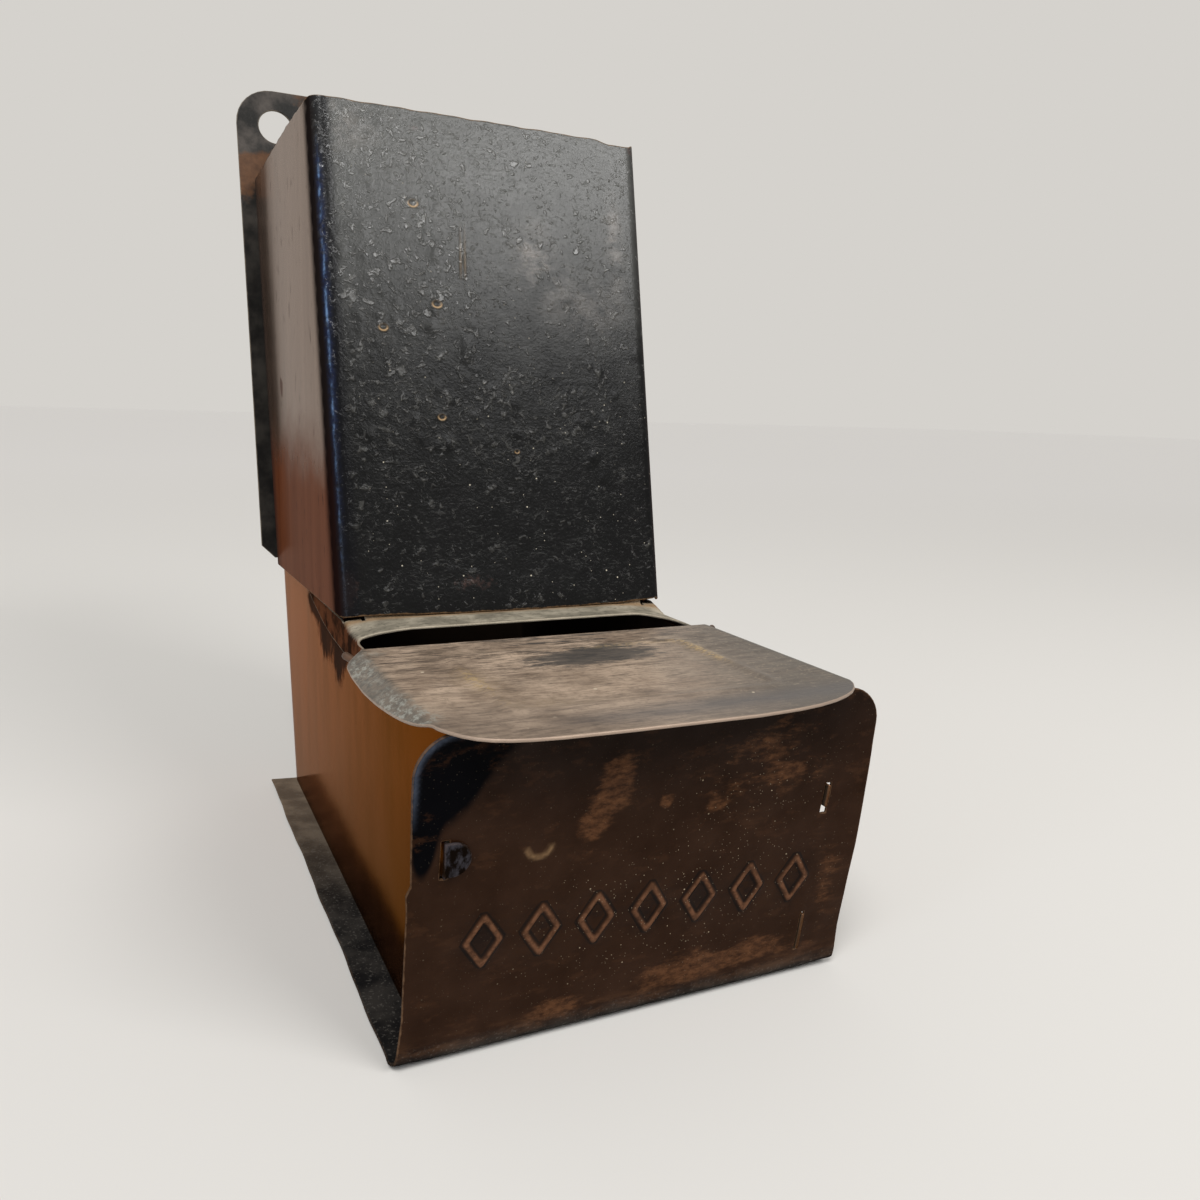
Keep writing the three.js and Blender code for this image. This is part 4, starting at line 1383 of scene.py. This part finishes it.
lid_marks = {
    "bead": bead,
    "skirt": limited((np.abs(lid_x) - lid_half + 1) / 1.5),
    "fore": limited((-63 - lid_v - 0.1 * lid_x) / 8),
    "dark": blobs(lid_x, lid_v, [
        (-3, -43, 9, 5.5, 1.0), (8, -41, 10, 6, 1.1), (-6, -60, 8, 3, 0.3), (0, -27.5, 26, 1.6, 0.7),
        (-2, -31, 20, 1.2, 0.6),
    ]),
    "band": ridge(lid_v + 75.5 - 0.03 * lid_x, 3.2) * limited((lid_x + 22) / 12),
    "gold": blobs(lid_x, lid_v, [
        (22, -46, 2.5, 10, 1.0), (10, -37.5, 14, 1.5, 0.6), (-22, -52, 5, 9, 0.9),
        (-16, -66, 9, 4, 0.6),
    ]),
    "light": blobs(lid_x, lid_v, [
        (-37, -34, 3, 6, 0.9), (-36, -44, 2, 8, 0.5), (-37, -58, 4, 7, 0.9), (-35, -67, 3, 4, 0.9),
        (-32, -30, 3, 3, 0.5),
    ]),
}
rough_dent = blobs(lid_x, lid_v, [
    (-12, -50, 14, 10, -0.15), (15, -60, 12, 8, 0.12), (-28, -45, 4, 12, 0.1),
])
lid_sheet = sheet("lid_sheet", lid_cut, lid_shape, through=0.32 * bead + rough_dent, marks=lid_marks)

ear_outside = 31.85
ear_round = 2.3
ear_turn = np.linspace(math.pi, 2 * math.pi, 15)
ear_outline = [(wire_y + ear_round * math.cos(a), wire_z + ear_round * math.sin(a)) for a in ear_turn]
ear_outline += [(wire_y + ear_round, 54.75), (wire_y - ear_round, 54.75)]
ear_hole = circle(wire_y, wire_z, wire_radius + 0.3, 16)
ear_cut = pattern(ear_outline, [ear_hole], hexes(-32, 50, -26, 55, 0.6), 0.4)
ears = [
    sheet("ear", ear_cut, lambda y, z, x=x: np.stack([x + 0 * y, y, z], -1))
    for x in (ear_outside, -ear_outside + thick)
]
join(lid_sheet, ears)

paint = Paint("lid_patina")
cloud = paint.noise(9, 5, 0.6, seed=51)
brush = paint.noise(2.0, 6, 0.7, stretch=(0.3, 1, 1), seed=52)
grain = paint.noise(0.8, 4, 0.65, seed=53)
hair = paint.noise(0.45, 4, 0.7, stretch=(0.1, 1, 1), seed=56)
colour = cloud.step(0.3, 0.7).mix((152, 131, 112), (202, 178, 155))
across = paint.x + paint.y * -0.35 + cloud * 0.03
greyer = across.step(0.035, 0.065)
to_hinge = (paint.y + cloud * 0.02).step(-0.05, -0.025)
brushed = brush.step(0.46, 0.64) * to_hinge.between(0.42, 0.68)
torn = paint.noise(3.2, 6, 0.75, stretch=(0.4, 1, 1), seed=57) + hair
darkened = (paint.mark("dark") * 0.55 + torn).step(1.26, 1.5)
banded = paint.mark("band") * brush.between(0.3, 1.0)
speckle = grain.step(0.42, 0.6)
gilded = paint.mark("gold").step(0.2, 1.0) * (speckle * paint.mark("bead").between(0.2, 0.95))
scrapes = paint.noise(0.9, 5, 0.7, stretch=(1, 0.5, 1), seed=54).step(0.46, 0.62)
scraped = paint.mark("light").step(0.2, 0.9) * scrapes
colour = layered(colour, [
    (greyer, cloud.mix((84, 78, 70), (116, 106, 94))),
    (brushed, (82, 70, 60)),
    (hair.step(0.5, 0.6) * to_hinge.between(0.35, 0.75), (68, 59, 52)),
    (hair.step(0.48, 0.36) * 0.15, (186, 166, 142)),
    (grain.step(0.52, 0.66) * 0.3, (88, 76, 66)),
    (grain.step(0.44, 0.32) * 0.3, (190, 170, 146)),
    (darkened * 0.8, (60, 61, 61)),
    (banded * 0.8, (76, 80, 86)),
    (paint.mark("fore") * 0.35, (98, 89, 82)),
    (gilded, (190, 162, 116)),
    (paint.mark("skirt") * 0.7, (72, 74, 70)),
    (scraped * 0.7, (168, 168, 158)),
    (paint.specks(5.5, 0.07, 0.25, seed=55), (220, 205, 180)),
])
under = cloud.mix((34, 26, 20), (78, 60, 46))
colour = paint.mark("outside").mix(under, colour)
rim = (paint.mark("edge") + grain * 0.06).step(1.0, 1.03)
colour = (rim * 0.8).mix(colour, (160, 140, 124))
lid_finish = paint.finish(
    colour,
    cloud.between(0.38, 0.52),
    [(cloud, 0.1), (brush, 0.05), (hair, 0.03), (grain, 0.03)],
    metal=0.3,
    gloss=0.2,
)
place(lid_sheet, lid_finish, "lid", "lid")


# Floor, light and camera
# A plain pale floor under an even sky of the same paleness, and a soft sun from the front left.
# The hopper's front mirrors a broad panel at the right, and its front bend a narrow cool one at the left.

floor_mesh = bpy.data.meshes.new("floor")
floor_mesh.from_pydata([(-9, -9, 0), (9, -9, 0), (9, 9, 0), (-9, 9, 0)], [], [(0, 1, 2, 3)])
floor = shown("floor", floor_mesh)
floor.location.z = -0.0004
paint = Paint("floor_paper")
away = tone(paint.tree, "ShaderNodeVectorMath", {0: paint.place}, "Value", operation="LENGTH")
floor_colour = away.step(0.3, 1.6).mix((216, 213, 208), (222, 219, 215))
floor_mesh.materials.append(paint.finish(floor_colour, 0.95, [], gloss=0.1))
floor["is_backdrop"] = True

sky = bpy.data.worlds.new("sky")
sky.use_nodes = True
bpy.context.scene.world = sky
sky.node_tree.nodes.clear()


def sky_node(kind, inputs, **settings):
    return add_node(sky.node_tree, kind, inputs, **settings).outputs


rays = sky_node("ShaderNodeLightPath", {})
mirrored = sky_node(
    "ShaderNodeMath", {0: rays["Is Glossy Ray"], 1: rays["Is Transmission Ray"]}, operation="MAXIMUM"
)
seen_ray = sky_node("ShaderNodeMath", {0: rays["Is Camera Ray"], 1: mirrored[0]}, operation="MAXIMUM")
lit = sky_node("ShaderNodeBackground", {0: (1, 0.99, 0.97, 1), 1: 0.32})
backdrop = sky_node("ShaderNodeBackground", {0: paint_colour(213, 210, 205)})
either = sky_node("ShaderNodeMixShader", {0: seen_ray[0], 1: lit[0], 2: backdrop[0]})
sky_node("ShaderNodeOutputWorld", {0: either[0]})


def aimed(name, kind, at, to, strength, **settings):
    """A light at a place, in metres, turned to a point."""
    light = bpy.data.lights.new(name, kind)
    light.energy = strength
    for key, value in settings.items():
        setattr(light, key, value)
    made = shown(name, light)
    made.location = at
    made.rotation_euler = (Vector(to) - Vector(at)).to_track_quat("-Z", "Y").to_euler()


aimed("sun", "SUN", (-0.4, -0.6, 1.0), (0, 0, 0), 2.15, angle=math.radians(24))
aimed(
    "panel", "AREA", (0.36, -0.72, 0.66), (0, 0, 0.14), 1.42,
    shape="RECTANGLE", size=0.45, size_y=0.3, spread=math.radians(100),
)
aimed(
    "cool_panel", "AREA", (-0.66, -0.32, 0.16), (0, 0, 0.1), 0.8,
    shape="RECTANGLE", size=0.16, size_y=0.4, color=(0.7, 0.82, 1.0),
)

camera_data = bpy.data.cameras.new("camera")
camera_data.sensor_width = 36
camera_data.lens = 30.204
camera_data.clip_start = 0.01
camera_data.clip_end = 50
camera = shown("camera", camera_data)
right = Vector((0.9037, -0.4271, 0.0291))
up = Vector((0.0529, 0.1789, 0.9824))
ahead = Vector((0.4248, 0.8863, -0.1843))
turned_to = Matrix((right, up, -ahead)).transposed().to_4x4()
turned_to.translation = (-0.06997, -0.19487, 0.09653)
camera.matrix_world = turned_to
bpy.context.scene.camera = camera
bpy.context.scene.view_settings.view_transform = "Standard"

low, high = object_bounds()
sizes = {"cad": [list(cad_low), list(cad_high)], "visual": [list(low), list(high)]}
